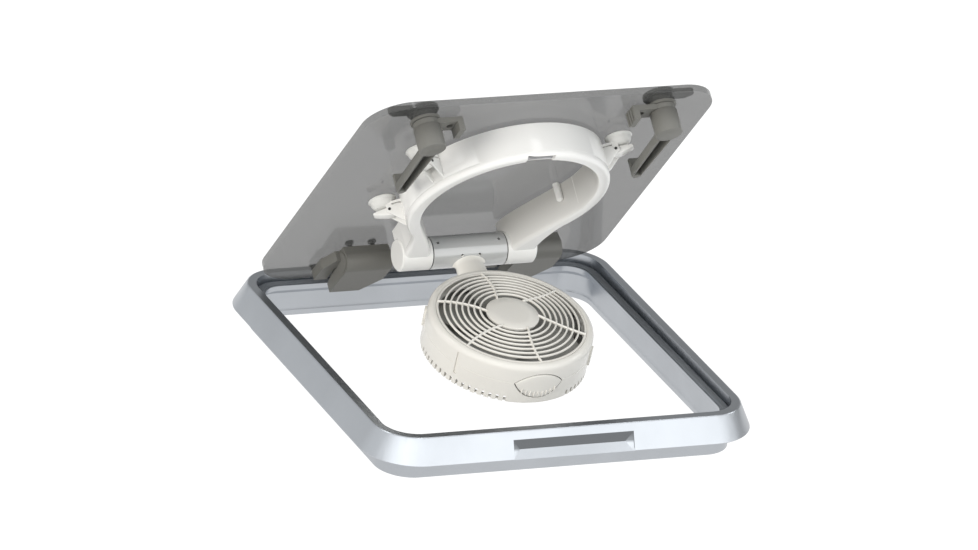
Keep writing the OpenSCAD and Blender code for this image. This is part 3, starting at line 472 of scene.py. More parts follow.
# %% Loop band
LOOP_R, BAND_W, LOOP_H, LOOP_LOW = 118.0, 15.0, 45.0, 3.0
SLEEVE_IN, SLEEVE_OUT = 47.0, 82.0
OUTER_TURN, INNER_TURN = 128.0, 104.0
LOOP_V = TUBE_V + REACH
ARC_STEPS, SWEEP_STEPS = 64, 28
PROUD = 0.12


def bezier(a, b, c, d, t):
    return a * (1 - t) ** 3 + b * 3 * t * (1 - t) ** 2 + c * 3 * t * t * (1 - t) + d * t**3


def band_side(radius, turn, end_x, pull):
    """One side of the band: an arc from the loop's top, then a sweep in to the pivot."""
    angles = [math.radians(turn * i / ARC_STEPS) for i in range(ARC_STEPS + 1)]
    line = [np.array((radius * math.sin(a), LOOP_V + radius * math.cos(a))) for a in angles]
    start, end = line[-1], np.array((end_x, TUBE_V))
    ahead = start + pull * np.array((math.cos(angles[-1]), -math.sin(angles[-1])))
    behind = end + np.array((0, pull))
    return line + [bezier(start, ahead, behind, end, i / SWEEP_STEPS) for i in range(1, SWEEP_STEPS + 1)]


def rim_section(width):
    """Points of the section as [share of the way across, height], from the outer foot to the inner one."""
    outer_round, inner_round, groove, seam = 6.5, 6.0, 0.2, 36.9
    steps = 6
    cut = groove / width
    points = [(0, LOOP_LOW), (0, seam - 0.4), (cut, seam - 0.2), (cut, seam + 0.2), (0, seam + 0.4)]
    for i in range(steps + 1):
        a = math.pi / 2 * i / steps
        points.append((outer_round * (1 - math.cos(a)) / width, LOOP_H - outer_round * (1 - math.sin(a))))
    for i in range(steps + 1):
        a = math.pi / 2 * (1 - i / steps)
        points.append((1 - inner_round * (1 - math.cos(a)) / width, LOOP_H - inner_round * (1 - math.sin(a))))
    return points + [(1, LOOP_LOW)]


def band_rings():
    outer = band_side(LOOP_R + PROUD, OUTER_TURN, SLEEVE_OUT + PROUD, BAND_W)
    inner = band_side(LOOP_R - BAND_W - PROUD, INNER_TURN, SLEEVE_IN - PROUD, 2 * BAND_W)
    rings = []
    for o, i in zip(outer, inner):
        across = i - o
        width = float(np.linalg.norm(across))
        rings.append([(*(o + across * share), height + PROUD) for share, height in rim_section(width)])
    mirrored = [[(-x, v, rho) for x, v, rho in ring] for ring in rings[:0:-1]]
    return mirrored + rings


# %% [markdown]
# Boxes, bars and flat outlines with thickness make the small pieces, and also the tools that cut holes.


# %% Solids
def block(x, y, z, place=Matrix()):
    """The corners and faces of a box between two values along each direction."""
    corners = [tuple(place @ Vector((x[i], y[j], z[k]))) for i in (0, 1) for j in (0, 1) for k in (0, 1)]
    return corners, [(0, 1, 3, 2), (4, 6, 7, 5), (0, 4, 5, 1), (2, 3, 7, 6), (0, 2, 6, 4), (1, 5, 7, 3)]


def ring_faces(levels, count):
    """Faces between rings of points stacked one on the next, and a face to close each end."""
    faces = [
        (a * count + k, a * count + (k + 1) % count, (a + 1) * count + (k + 1) % count, (a + 1) * count + k)
        for a in range(levels - 1) for k in range(count)
    ]
    return faces + [tuple(range(count))[::-1], tuple(range((levels - 1) * count, levels * count))]


def around(radius, count):
    """Points of a circle."""
    return [(radius * math.cos(math.tau * k / count), radius * math.sin(math.tau * k / count)) for k in range(count)]


def round_solid(levels, place, sides):
    """A solid round local z, through levels of radius and height."""
    corners = [tuple(place @ Vector((x, y, z))) for r, z in levels for x, y in around(r, sides)]
    return corners, ring_faces(len(levels), sides)


def rod(radius, low, high, place, dome=0.0):
    """A round bar along local z, with a domed top if asked."""
    levels = [(radius, low), (radius, high)]
    if dome:
        turns = [math.pi / 2 * i / 5 for i in range(1, 5)]
        levels += [(radius * math.cos(a), high + dome * math.sin(a)) for a in turns]
    return round_solid(levels, place, 24)


def prism(outline, low, high, place):
    """A flat outline given thickness: its points lie across local y and z, its thickness along local x."""
    corners = [tuple(place @ Vector((x, y, z))) for x in (low, high) for y, z in outline]
    return corners, ring_faces(2, len(outline))


def solids(name, pieces):
    """One mesh out of several separate solids."""
    points, faces = [], []
    for corners, sides in pieces:
        faces += [tuple(i + len(points) for i in side) for side in sides]
        points += corners
    mesh = bpy.data.meshes.new(name)
    mesh.from_pydata(points, [], faces)
    return outward(mesh)


def carved(mesh, pieces):
    """Cuts solids out of a mesh."""
    body = bpy.data.objects.new("body", mesh)
    tool = bpy.data.objects.new("tool", solids("tool", pieces))
    for thing in (body, tool):
        scene.collection.objects.link(thing)
    cut = body.modifiers.new("cut", "BOOLEAN")
    cut.operation, cut.solver, cut.object = "DIFFERENCE", "EXACT", tool
    made = bpy.data.meshes.new_from_object(body.evaluated_get(bpy.context.evaluated_depsgraph_get()))
    for thing in (body, tool):
        bpy.data.objects.remove(thing)
    return made


def eased(name, pieces, width, place, finish, body, stands_for=()):
    """Small solids with bevelled edges, put in place as one piece."""
    mesh = solids(name, pieces)
    work = bmesh.new()
    work.from_mesh(mesh)
    edges = [e for e in work.edges if e.is_manifold and e.calc_face_angle() > math.radians(35)]
    bmesh.ops.bevel(work, geom=edges, offset=width, segments=2, affect="EDGES", profile=0.5, clamp_overlap=True)
    work.to_mesh(mesh)
    work.free()
    finished(name, mesh, place, finish, body, stands_for, sharp=35)


# %% [markdown]
# The band is cut for its clip window and for the feet. Inside the loop it lies in the loop's own shade, more so
# near the pane, so its colour goes by how far it faces the loop's middle and how low it is.

# %% Band in place
# Where the feet hook into the band: their turns round the loop, in degrees
FOOT_TURNS = (63, 117, -63, -117)


def at_turn(turn, radius):
    """Local x runs along the band, local y straight out from the loop."""
    return shift(0, LOOP_V, 0) @ Matrix.Rotation(math.radians(-turn), 4, "Z") @ shift(0, radius, 0)


WINDOW_LEFT, WINDOW_RIGHT, WINDOW_V = -20.0, 14.0, LOOP_V + LOOP_R - BAND_W
window = block((WINDOW_LEFT, WINDOW_RIGHT), (WINDOW_V - 2, WINDOW_V + 12.5), (41.5, LOOP_H + 2))
slot = block((WINDOW_LEFT + 1.5, WINDOW_RIGHT - 1.5), (WINDOW_V + 1.6, WINDOW_V + 11.5), (31.0, LOOP_H + 2))
pockets = [block((-6.5, 6.5), (-3.0, 2.0), (14.0, 37.0), at_turn(turn, LOOP_R)) for turn in FOOT_TURNS]
band = outward(skin("loop_band", band_rings(), close_ends=True))
band = carved(carved(band, [window] + pockets), [slot])
finished(
    "loop_band", band, LID, band_white, "lid", ["loop_cover", "loop_clip", "loop_screws"],
    sharp=38, merge=False,
)
clip_bar = block((WINDOW_LEFT + 1.6, WINDOW_RIGHT - 1.6), (WINDOW_V + 4.4, WINDOW_V + 8.0), (31.5, 43.0))
eased("clip_bar", [clip_bar], 0.7, LID, steel, "lid")

hub = LID @ Vector((0, LOOP_V, 0))
inward = (LID.to_3x3() @ Vector((0, 0, 1))).normalized()
from_hub = band_white.node(
    "ShaderNodeVectorMath", {"operation": "SUBTRACT"}, {0: band_white.place, 1: tuple(hub)}, out="Vector"
)
low = band_white.dot(from_hub, tuple(inward)).ramp(1.25 * LOOP_H * MM, 0.25 * LOOP_H * MM)
inside = (band_white.dot(from_hub, band_white.facing()) * -11.0).clamped() * low
band_white.set(Base_Color=band_white.between(inside, grey(247, 246, 243), grey(206, 204, 199)))

tongues = [block((-3.6, 3.6), (-2.9, -0.6), (13.5, 33.0), at_turn(turn, LOOP_R)) for turn in FOOT_TURNS]
eased("foot_tongues", tongues, 1.0, LID, gloss_white, "lid")
BOSS_X, BOSS_V, BOSS_R = 87.0, 210.0, 4.2
boss = solids("wall_boss", [rod(BOSS_R, 2.0, 21.0, shift(BOSS_X, BOSS_V, 0), dome=3.5)])
finished("wall_boss", boss, LID, gloss_white, "lid", sharp=50)
print("band faces:", len(band.polygons))

# %% [markdown]
# The feet. Each is a bulging cup on the pane, a pair of cheeks that grow out of the band, and a slim blade
# between them that turns on a pin. All four are one drawing, placed by their turn round the loop.

# %% Suction feet
CUP_OUT, CUP_R, CUP_TOP = 19.8, 16.2, 9.6
CHEEK = [(-1.5, 13.0), (-1.5, 36.0), (3.0, 33.0), (14.0, 22.5), (17.8, 20.0), (18.4, 16.0), (15.0, 13.2), (6.0, 12.0)]
BLADE = [
    (7.0, 15.2), (7.0, 20.5), (12.0, 23.0), (18.0, 22.6), (27.0, 20.2), (33.2, 18.0), (33.8, 16.6), (32.0, 15.4),
    (24.0, 14.0), (16.0, 13.3), (10.0, 13.6),
]
PIN_OUT, PIN_UP = 14.0, 17.0
feet = [at_turn(turn, LOOP_R) for turn in FOOT_TURNS]

cup_levels = [(CUP_R - 1.0, 0.0), (CUP_R, 0.5), (CUP_R, 1.2), (CUP_R - 0.9, 1.9), (CUP_R - 1.6, 3.0)]
for a in (math.radians(10 * i) for i in range(1, 9)):
    cup_levels.append(((CUP_R - 1.8) * math.cos(a) ** 0.8, 3.0 + CUP_TOP * math.sin(a)))
cup_levels.append((0.4, 3.0 + CUP_TOP))
cups = [round_solid(cup_levels, place @ shift(0, CUP_OUT, 0), 40) for place in feet]
finished("cup_domes", solids("cup_domes", cups), LID, cup, "lid", ["suction_cups"], sharp=40, merge=False)
cheeks = [prism(CHEEK, low, low + 2.3, place) for place in feet for low in (-9.1, 6.8)]
eased("foot_cheeks", cheeks, 0.5, LID, gloss_white, "lid")
for number, place in enumerate(feet, 1):
    node, blade = f"foot_lever_{number}", prism(BLADE, -6.0, 6.0, place)
    eased(f"foot_blade_{number}", [blade], 0.8, LID, gloss_white, body_of[node], [node])
across_foot = shift(0, PIN_OUT, PIN_UP) @ Matrix.Rotation(math.pi / 2, 4, "Y")
pins = solids("pin_heads", [rod(1.7, -9.5, 9.5, place @ across_foot) for place in feet])
finished("pin_heads", pins, LID, black_and_painted_shade, "lid", ["foot_pins"], merge=False)

# %% [markdown]
# The latch levers are thin-walled channels: two side walls, a floor and a hooked end, under a round hub.

# %% Latch levers
LATCH_X, LATCH_V = {"left": -144.0, "right": 147.0}, 394.8
HUB_LOW, HUB_TOP, HUB_R = 9.6, 38.0, 15.7
LEVER_END, LEVER_ROOT, LEVER_H = -108.0, -8.0, 10.5
ROOT_HALF, TIP_HALF, NOSE_HALF = 8.5, 5.75, 2.2
# Lays a prism flat: its outline across local x and y, its thickness along local z
FLAT = Matrix(((0, 1, 0, 0), (0, 0, 1, 0), (1, 0, 0, 0), (0, 0, 0, 1)))

low, high, tip = HUB_TOP - LEVER_H, HUB_TOP - 0.4, LEVER_END + 4.0
nose = [(-TIP_HALF, tip), (-NOSE_HALF, LEVER_END), (NOSE_HALF, LEVER_END), (TIP_HALF, tip)]
hook = [(-TIP_HALF, tip), (-NOSE_HALF, LEVER_END + 0.2), (NOSE_HALF, LEVER_END + 0.2), (TIP_HALF, tip)]
near_tip = tip - 0.2
inner_wall = [(-ROOT_HALF, LEVER_ROOT), (-TIP_HALF, near_tip), (-3.5, near_tip), (-6.0, LEVER_ROOT)]
outer_wall = [(7.0, LEVER_ROOT), (4.2, near_tip), (TIP_HALF, near_tip), (ROOT_HALF, LEVER_ROOT)]
lever_pieces = [
    (inner_wall, low, high), (outer_wall, low, high), (nose + [(5.2, tip + 2.0), (-5.2, tip + 2.0)], low, high),
    (hook + [(TIP_HALF, tip + 5.0), (-TIP_HALF, tip + 5.0)], low - 11.0, low + 0.5),
]
lever_floor = [(-ROOT_HALF, LEVER_ROOT)] + nose + [(ROOT_HALF, LEVER_ROOT)]
hub_levels = [
    (HUB_R - 0.7, HUB_LOW), (HUB_R, HUB_LOW + 0.7), (HUB_R, HUB_TOP - 1.1), (HUB_R - 0.35, HUB_TOP - 0.35),
    (HUB_R - 1.1, HUB_TOP),
]
for side, x in LATCH_X.items():
    node, place = f"inner_lever_{side}", shift(x, LATCH_V, 0)
    body, slot_name = body_of[node], slot_of[node]
    walls = [prism(outline, start, end, place @ FLAT) for outline, start, end in lever_pieces]
    eased(f"lever_walls_{side}", walls, 0.5, LID, dark, body)
    # The floor between the walls wears the darker copy, as painted shade.
    floor_piece = prism(lever_floor, low, low + 1.6, place @ FLAT)
    eased(f"lever_floor_{side}", [floor_piece], 0.3, LID, lever_floor_shade, body)
    lever_hub = solids("lever_hub", [round_solid(hub_levels, place, 64)])
    finished(f"lever_hub_{side}", lever_hub, LID, dark, body, [node, f"latch_screws_{side}"], sharp=50)

# %% [markdown]
# The grille is the part that follows a rule most plainly: rings at even steps and six curved spokes, all lying on
# one shallow dome. Geometry Nodes draw them flat as curves, lift every point onto the dome by its distance
# from the middle, and then give the curves their thickness.


# %% Recipes made of geometry nodes
class Recipe(Wiring):
    """A Geometry Nodes tree with named sizes, which ends as a plain mesh."""

    def __init__(self, name, **sizes):
        self.name, self.sizes, self.keys = name, sizes, {}
        self.tree = bpy.data.node_groups.new(name, "GeometryNodeTree")
        for key, value in sizes.items():
            kind = "NodeSocketInt" if isinstance(value, int) else "NodeSocketFloat"
            self.keys[key] = self.tree.interface.new_socket(name=key, in_out="INPUT", socket_type=kind).identifier
        self.tree.interface.new_socket(name="Geometry", in_out="OUTPUT", socket_type="NodeSocketGeometry")
        self.start = self.tree.nodes.new("NodeGroupInput")
        self.end = self.tree.nodes.new("NodeGroupOutput")

    def size(self, key):
        return Signal(self.tree, self.start.outputs[key])

    def join(self, *parts):
        node = self.tree.nodes.new("GeometryNodeJoinGeometry")
        for part in parts:
            wire(self.tree, node.inputs[0], part)
        return Signal(self.tree, node.outputs[0])

    def vector(self, x=0.0, y=0.0, z=0.0):
        return self.node("ShaderNodeCombineXYZ", {}, {"X": x, "Y": y, "Z": z})

    def mesh(self, geometry, finish):
        real = self.node("GeometryNodeRealizeInstances", {}, {"Geometry": geometry})
        painted = self.node("GeometryNodeSetMaterial", {}, {"Geometry": real, "Material": finish.material})
        wire(self.tree, self.end.inputs[0], painted)
        carrier = bpy.data.objects.new(self.name, bpy.data.meshes.new(self.name))
        scene.collection.objects.link(carrier)
        modifier = carrier.modifiers.new("recipe", "NODES")
        modifier.node_group = self.tree
        for key, value in self.sizes.items():
            modifier[self.keys[key]] = value
        graph = bpy.context.evaluated_depsgraph_get()
        made = bpy.data.meshes.new_from_object(carrier.evaluated_get(graph))
        carrier.modifiers.remove(modifier)
        bpy.data.objects.remove(carrier)
        return made


# %% Grille
HEAD_FRONT, HEAD_H, HEAD_R = -7.9, 49.5, 95.7
GRILLE_R, BADGE_R, DOME = 86.55, 30.6, 6.75
grille = Recipe(
    "grille", rings=7, spokes=6, rim=GRILLE_R, hub=BADGE_R, dome=DOME, wire=2.3, spoke_wire=2.6, depth=1.5,
    first_spoke=math.radians(28.3), lag=math.radians(13.0),
)


def on_dome(made, curves):
    """Lifts flat curves onto the dome: highest at the hub, level at the rim."""
    where = made.node("GeometryNodeInputPosition")
    out = made.node("ShaderNodeVectorMath", {"operation": "LENGTH"}, {0: where}, out="Value")
    share = out / made.size("rim")
    fall = 1 - (BADGE_R / GRILLE_R) ** 2
    lift = (share * share - 1.0) * made.size("dome") * (1 / fall)
    return made.node("GeometryNodeSetPosition", {}, {"Geometry": curves, "Offset": made.vector(z=lift)})


def thicken(made, curves, radius):
    """Wires a little deeper than they are wide, as moulded ribs are."""
    deep = made.vector(1.0, made.size("depth"), 1.0)
    profile = made.node("GeometryNodeCurvePrimitiveCircle", {}, {"Resolution": 12, "Radius": radius}, out="Curve")
    profile = made.node("GeometryNodeTransform", {}, {"Geometry": profile, "Scale": deep})
    return made.node("GeometryNodeCurveToMesh", {}, {"Curve": curves, "Profile Curve": profile, "Fill Caps": True})


RING_ROOM, SPOKE_BOW = 2.5, (60.0, 3.6, 0.0)
ring_points = grille.node("GeometryNodePoints", {}, {"Count": grille.size("rings")})
number = grille.node("GeometryNodeInputIndex") + 1.0
ring_step = (grille.size("rim") - RING_ROOM - grille.size("hub")) / (grille.size("rings") + 1.0)
ring_size = grille.size("hub") + number * ring_step
unit_ring = grille.node("GeometryNodeCurvePrimitiveCircle", {}, {"Resolution": 144, "Radius": 1.0}, out="Curve")
rings = grille.node(
    "GeometryNodeInstanceOnPoints", {}, {"Points": ring_points, "Instance": unit_ring, "Scale": ring_size}
)
rings = grille.node("GeometryNodeRealizeInstances", {}, {"Geometry": rings})

lag = grille.size("lag")
hub_end = grille.vector(x=lag.math("COSINE", lag) * (BADGE_R - 1), y=lag.math("SINE", lag) * (1 - BADGE_R))
one_spoke = grille.node(
    "GeometryNodeCurveQuadraticBezier", {},
    {"Resolution": 24, "Start": hub_end, "Middle": SPOKE_BOW, "End": (GRILLE_R - 1.2, 0.0, 0.0)},
)
spoke_points = grille.node("GeometryNodePoints", {}, {"Count": grille.size("spokes")})
spoke_number = grille.node("GeometryNodeInputIndex")
spoke_turn = spoke_number * math.tau / grille.size("spokes") + grille.size("first_spoke")
spokes = grille.node(
    "GeometryNodeInstanceOnPoints", {},
    {"Points": spoke_points, "Instance": one_spoke, "Rotation": grille.vector(z=spoke_turn)},
)
spokes = grille.node("GeometryNodeRealizeInstances", {}, {"Geometry": spokes})
wires = grille.join(
    thicken(grille, on_dome(grille, rings), grille.size("wire") * 0.5),
    thicken(grille, on_dome(grille, spokes), grille.size("spoke_wire") * 0.5),
)
grille_mesh = grille.mesh(wires, head_white)
finished(
    "grille_wires", grille_mesh, HEAD @ shift(0, 0, HEAD_FRONT + 1.1), head_white, "fan",
    merge=False, sharp=60,
)
print("grille faces:", len(grille_mesh.polygons))


# %% [markdown]
# Round parts are turned like wood on a lathe: a half section goes once round the fan's axis.
# The grille's rim and the bare centre disc are made so, with soft edges.


# %% Turned pieces
def turned(name, section, steps=128, closed=True):
    rings = [[(r * x, r * y, z) for r, z in section] for x, y in around(1.0, steps)]
    return skin(name, rings, close_rings=closed, loop=True)


def rounded(corners, radius, steps=4):
    """A closed outline with each corner rounded."""
    line = []
    count = len(corners)
    for i in range(count):
        before, here, after = (np.array(corners[(i + k) % count], float) for k in (-1, 0, 1))
        a, b = before - here, after - here
        a, b = a / np.linalg.norm(a) * radius, b / np.linalg.norm(b) * radius
        for k in range(steps + 1):
            t = k / steps
            line.append(tuple((here + a) * (1 - t) ** 2 + here * 2 * t * (1 - t) + (here + b) * t * t))
    return line


rim_section_points = rounded([(GRILLE_R - 2.6, 0.0), (GRILLE_R, 0.0), (GRILLE_R, 2.2), (GRILLE_R - 2.6, 2.2)], 0.6)
rim_mesh = turned("grille_rim", rim_section_points)
finished(
    "grille_rim", rim_mesh, HEAD @ shift(0, 0, HEAD_FRONT), head_white, "fan", ["front_grille"], sharp=60
)
disc = [(0.0, -0.5), (18.0, -0.35), (BADGE_R - 1.0, 0.3), (BADGE_R, 1.2), (BADGE_R, 3.4), (0.0, 3.4)]
disc_mesh = turned("grille_disc", disc, closed=False)
finished(
    "grille_disc", disc_mesh, HEAD @ shift(0, 0, HEAD_FRONT - DOME), head_white, "fan",
    ["grille_badge"], sharp=40,
)

# %% [markdown]
# The head's drum is turned from a half section with a generously rounded front, then carved: a comb of teeth along
# its lower edge, a long notch, and the seat of the speed button. The button is a lens bent round the drum,
# with short grip ribs along its lower side.

# %% Fan drum
HEAD_BACK = HEAD_FRONT + HEAD_H
DRUM_WALL, RIM_IN, NOTCH_TURN = 3.0, 86.7, 150
BUTTON_TURN, LENS_HALF, LENS_MID, LENS_TOP, LENS_LOW = 89.5, 29.2, 16.0, 3.5, 33.5


def on_drum(turn):
    """Local x points straight out of the drum, local z along its axis."""
    return Matrix.Rotation(math.radians(turn), 4, "Z") @ shift(HEAD_R, 0, 0)


def arc(half, rise, count):
    """Points of a shallow arc over a chord: a share of the way along it, and the height above it."""
    radius = (half * half + rise * rise) / (2 * abs(rise))
    line = []
    for i in range(count):
        across = half * (2 * i / (count - 1) - 1)
        height = math.sqrt(radius * radius - across * across) - (radius - abs(rise))
        line.append((across, math.copysign(max(height, 0.0), rise)))
    return line


def lens_outline(grow, count=33):
    """The button's outline, as distance round the drum and depth down its side."""
    upper = arc(LENS_HALF + grow, LENS_TOP - LENS_MID - grow, count)
    lower = arc(LENS_HALF + grow, LENS_LOW - LENS_MID + grow, count)[::-1]
    return [(a, LENS_MID + h) for a, h in upper] + [(a, LENS_MID + h) for a, h in lower[1:-1]]


def wrapped(outline, radius):
    """Bends a flat outline round the drum."""
    return [
        (radius * math.cos(t), radius * math.sin(t), z)
        for t, z in ((math.radians(BUTTON_TURN) + across / HEAD_R, z) for across, z in outline)
    ]


def lens_middle(share, radius):
    """The outline drawn in towards its own middle."""
    centre = LENS_MID + 1.5
    return wrapped([(across * share, centre + (z - centre) * share) for across, z in lens_outline(0)], radius)


def lens_block(grow, inner, outer):
    """The outline given thickness. Its two ends are strips of faces, so that they follow the drum's bend."""
    corners = wrapped(lens_outline(grow), inner) + wrapped(lens_outline(grow), outer)
    count = len(corners) // 2
    faces = ring_faces(2, count)[:-2]
    for i in range(count // 2):
        ring = list(dict.fromkeys([i, i + 1, (count - i - 1) % count, (count - i) % count]))
        faces += [tuple(ring)[::-1], tuple(count + k for k in ring)]
    return corners, faces


drum_section = [
    (RIM_IN, 1.0), (RIM_IN + 0.6, 0.25), (RIM_IN + 1.4, 0.0), (HEAD_R - 6.8, 0.0), (HEAD_R - 5.0, 0.35),
    (HEAD_R - 3.4, 1.1), (HEAD_R - 2.0, 2.4), (HEAD_R - 0.9, 4.2), (HEAD_R - 0.25, 6.4), (HEAD_R, 9.0),
    (HEAD_R, 22.7), (HEAD_R - 0.35, 22.9), (HEAD_R - 0.35, 23.5), (HEAD_R, 23.7), (HEAD_R, HEAD_H - 0.5),
    (HEAD_R - 0.5, HEAD_H), (HEAD_R - DRUM_WALL, HEAD_H), (HEAD_R - DRUM_WALL, 9.0), (RIM_IN, 9.0),
]
drum = turned("drum", drum_section, steps=180)
drum.transform(shift(0, 0, HEAD_FRONT))
outward(drum)
slot_turns = [112 + 5 * i for i in range(16)] + [64 - 5 * i for i in range(16)]
teeth = [block((-6.0, 2.0), (-1.5, 1.5), (HEAD_BACK - 7.5, HEAD_BACK + 2), on_drum(turn)) for turn in slot_turns]
notch = [
    block((-1.6, 2.0), (-1.9, 1.9), (HEAD_FRONT + 7.5, HEAD_FRONT + 36), on_drum(NOTCH_TURN)),
    block((-2.9, 2.0), (-1.7, 1.7), (HEAD_FRONT + 9.0, HEAD_FRONT + 15.5), on_drum(NOTCH_TURN)),
]
seat = [lens_block(1.2, HEAD_R - DRUM_WALL - 1, HEAD_R + 3)]
drum = carved(drum, teeth + notch + seat)
finished("drum", drum, HEAD, head_white, "fan", ["fan_housing"], sharp=28, merge=False)
tabs = [block((-0.4, 2.0), (-4.5, 4.5), (HEAD_FRONT + 11, HEAD_FRONT + 33), on_drum(turn)) for turn in (33, 207)]
eased("drum_tabs", tabs, 0.6, HEAD, head_white, "fan")

# Dark linings in the button's seat and in the notch's lower hole: painted shade, so that these gaps read dark.
wells = [
    lens_block(1.6, HEAD_R - DRUM_WALL - 0.8, HEAD_R - 2.9),
    block((-2.95, -1.9), (-1.65, 1.65), (HEAD_FRONT + 9.1, HEAD_FRONT + 15.4), on_drum(NOTCH_TURN)),
]
wells = solids("painted_shade_wells", wells)
finished("painted_shade_wells", wells, HEAD, black_and_painted_shade, "fan", sharp=40, merge=False)

BUTTON_BACK, BUTTON_TOP = HEAD_R - 1.2, HEAD_R + 1.0
lens_levels = [(0.0, BUTTON_BACK), (0.0, HEAD_R - 0.2), (-0.5, HEAD_R + 0.5), (-1.6, HEAD_R + 0.85), (-8.0, BUTTON_TOP)]
lens_rings = [lens_middle(share, BUTTON_BACK) for share in (0.03, 0.3, 0.65)]
lens_rings += [wrapped(lens_outline(grow), radius) for grow, radius in lens_levels]
lens_rings += [lens_middle(share, BUTTON_TOP) for share in (0.45, 0.2, 0.03)]
lens = skin("button_lens", lens_rings, close_ends=True)
finished("button_lens", lens, HEAD, head_white, "button", ["speed_button"], sharp=40)
ribs = []
for i in range(-4, 5):
    across = 5.0 * i
    foot = LENS_MID + (LENS_LOW - LENS_MID) * math.sqrt(1 - (across / LENS_HALF) ** 2) - 1.6
    turn = BUTTON_TURN + math.degrees(across / HEAD_R)
    ribs.append(block((-0.8, 2.1), (-0.75, 0.75), (foot - 6.0, foot), on_drum(turn)))
eased("button_ribs", ribs, 0.3, HEAD, head_white, "button")

# %% [markdown]
# The impeller's blades are broad and overlap, so that little is seen between them from a low side.
# Each is a strip of a shallow screw surface, made as rings from the hub outwards, thicker at its root.

# %% Impeller
BLADES, HUB_CUP, BLADE_R, BLADE_LOW, BLADE_H = 5, 26.0, 84.0, -4.6, 19.4
ROOT_REACH, TIP_REACH, TIP_LAG = math.radians(118.0), math.radians(92.0), math.radians(16.0)
ROOT_THICK, TIP_THICK, BLADE_RINGS = 2.4, 1.2, 12


def blade_line(radius, first, thick, steps=20):
    """One cross cut of a blade at this radius: over its upper face and back under its lower one."""
    way_out = (radius - HUB_CUP) / (BLADE_R - HUB_CUP)
    reach = ROOT_REACH + (TIP_REACH - ROOT_REACH) * way_out
    lag = TIP_LAG * way_out**2
    upper, lower = [], []
    for i in range(steps + 1):
        share = i / steps
        turn = first + lag + reach * (share - 0.5)
        height = BLADE_LOW + 1.0 + (BLADE_H - 3.0) * share
        bulk = thick * (0.25 + 0.75 * math.sin(math.pi * share))
        upper.append((radius * math.cos(turn), radius * math.sin(turn), height))
        lower.append((radius * math.cos(turn), radius * math.sin(turn), height + bulk))
    return upper + lower[::-1]


pieces = []
for number in range(BLADES):
    lines = []
    for i in range(BLADE_RINGS + 1):
        radius = HUB_CUP - 1.5 + (BLADE_R - HUB_CUP + 1.5) * i / BLADE_RINGS
        thick = ROOT_THICK + (TIP_THICK - ROOT_THICK) * i / BLADE_RINGS
        lines.append(blade_line(radius, math.tau * number / BLADES, thick))
    pieces.append(([point for line in lines for point in line], ring_faces(len(lines), len(lines[0]))))
blades = solids("blades", pieces)
finished("blades", blades, HEAD, impeller_dark, "rotor", sharp=45, merge=False)
cup_section = [(0.0, 0.6), (20.0, 0.6), (24.5, 1.4), (26.0, 3.2), (26.0, 22.0), (24.0, 22.0), (24.0, 4.0), (0.0, 3.0)]
hub_cup = turned("hub_cup", cup_section, closed=False)
finished(
    "hub_cup", hub_cup, HEAD @ shift(0, 0, HEAD_FRONT + 3.0), impeller_dark, "rotor",
    ["impeller"], sharp=40,
)

# %% [markdown]
# The pivot tube is the most polished piece. Four dark screws sit deep in it. The neck grows out of the tube
# with a small flare: each of its first rings follows the tube's round back, and the last one is flat at the drum.

# %% Tube and neck
TUBE_R, SCREW_R = 19.0, 1.75
tube_holes = [(-39.0, 72.0), (37.0, 72.0), (-10.5, 20.0), (11.0, 20.0)]
# The neck's first rings: half width, half depth, the middle's depth, and the height over the tube's round
NECK_ROOT = [(21.5, 13.5, 6.0, -1.2), (19.8, 12.0, 6.3, 0.3), (18.3, 10.9, 6.7, 1.6), (17.3, 10.2, 7.0, 4.0)]
NECK_END_HALF, NECK_END_DEEP, NECK_END_MIDDLE, NECK_END_OUT = 20.0, 17.0, 16.85, 50.0


def on_tube(x, lift_angle):
    """Local z points straight out of the tube: 0 degrees towards the head, 90 out of its front."""
    return shift(x, 0, 0) @ turn_x(-90 - lift_angle)


def neck_ring(half, deep, middle, up):
    """An oval that lies on the tube's round back."""
    ring = [(half * x, middle + deep * z) for x, z in around(1.0, 48)]
    return [(x, math.sqrt(max(TUBE_R**2 - z * z, 12.0)) + up, z) for x, z in ring]


neck_rings = [neck_ring(*numbers) for numbers in NECK_ROOT]
root = neck_rings[-1]
drum_end = [(NECK_END_HALF * x, NECK_END_OUT, NECK_END_MIDDLE + NECK_END_DEEP * z) for x, z in around(1.0, 48)]
for k in range(1, 9):
    t = k / 8
    mix = t * t * (3 - 2 * t) * 0.6 + t * 0.4
    neck_rings.append([tuple(a * (1 - mix) + b * mix for a, b in zip(p, q)) for p, q in zip(root, drum_end)])
neck = skin("neck", neck_rings, close_ends=True)
finished("neck", neck, FAN, head_white, "fan", ["fan_neck"], sharp=50)
screw_caps = [rod(SCREW_R, 15.6, 16.4, on_tube(x, turn)) for x, turn in tube_holes]
finished(
    "tube_screw_caps", solids("tube_screw_caps", screw_caps), FAN, black_and_painted_shade, "fan",
    ["tube_screws"], sharp=40,
)
hole_tool = solids("hole_tool", [rod(SCREW_R, 16.0, 22.0, on_tube(x, turn)) for x, turn in tube_holes])
hole_tool.transform(FAN)
hole_cutter = bpy.data.objects.new("hole_tool", hole_tool)
scene.collection.objects.link(hole_cutter)
soften("pivot_tube", 0.8, cutter=hole_cutter, finish=tube_white_painted_reflection)
bpy.data.objects.remove(hole_cutter)
print("drum, button, impeller and neck made")

# %% [markdown]
# The stage: a white floor and a white background, with a studio that only polished surfaces see.
# In that studio the front is the brightest side, the left is far dimmer, and the rear is dimmer still, so each
# face of the metal frame takes its own tone. The light that falls on the object is a plain pale sky.


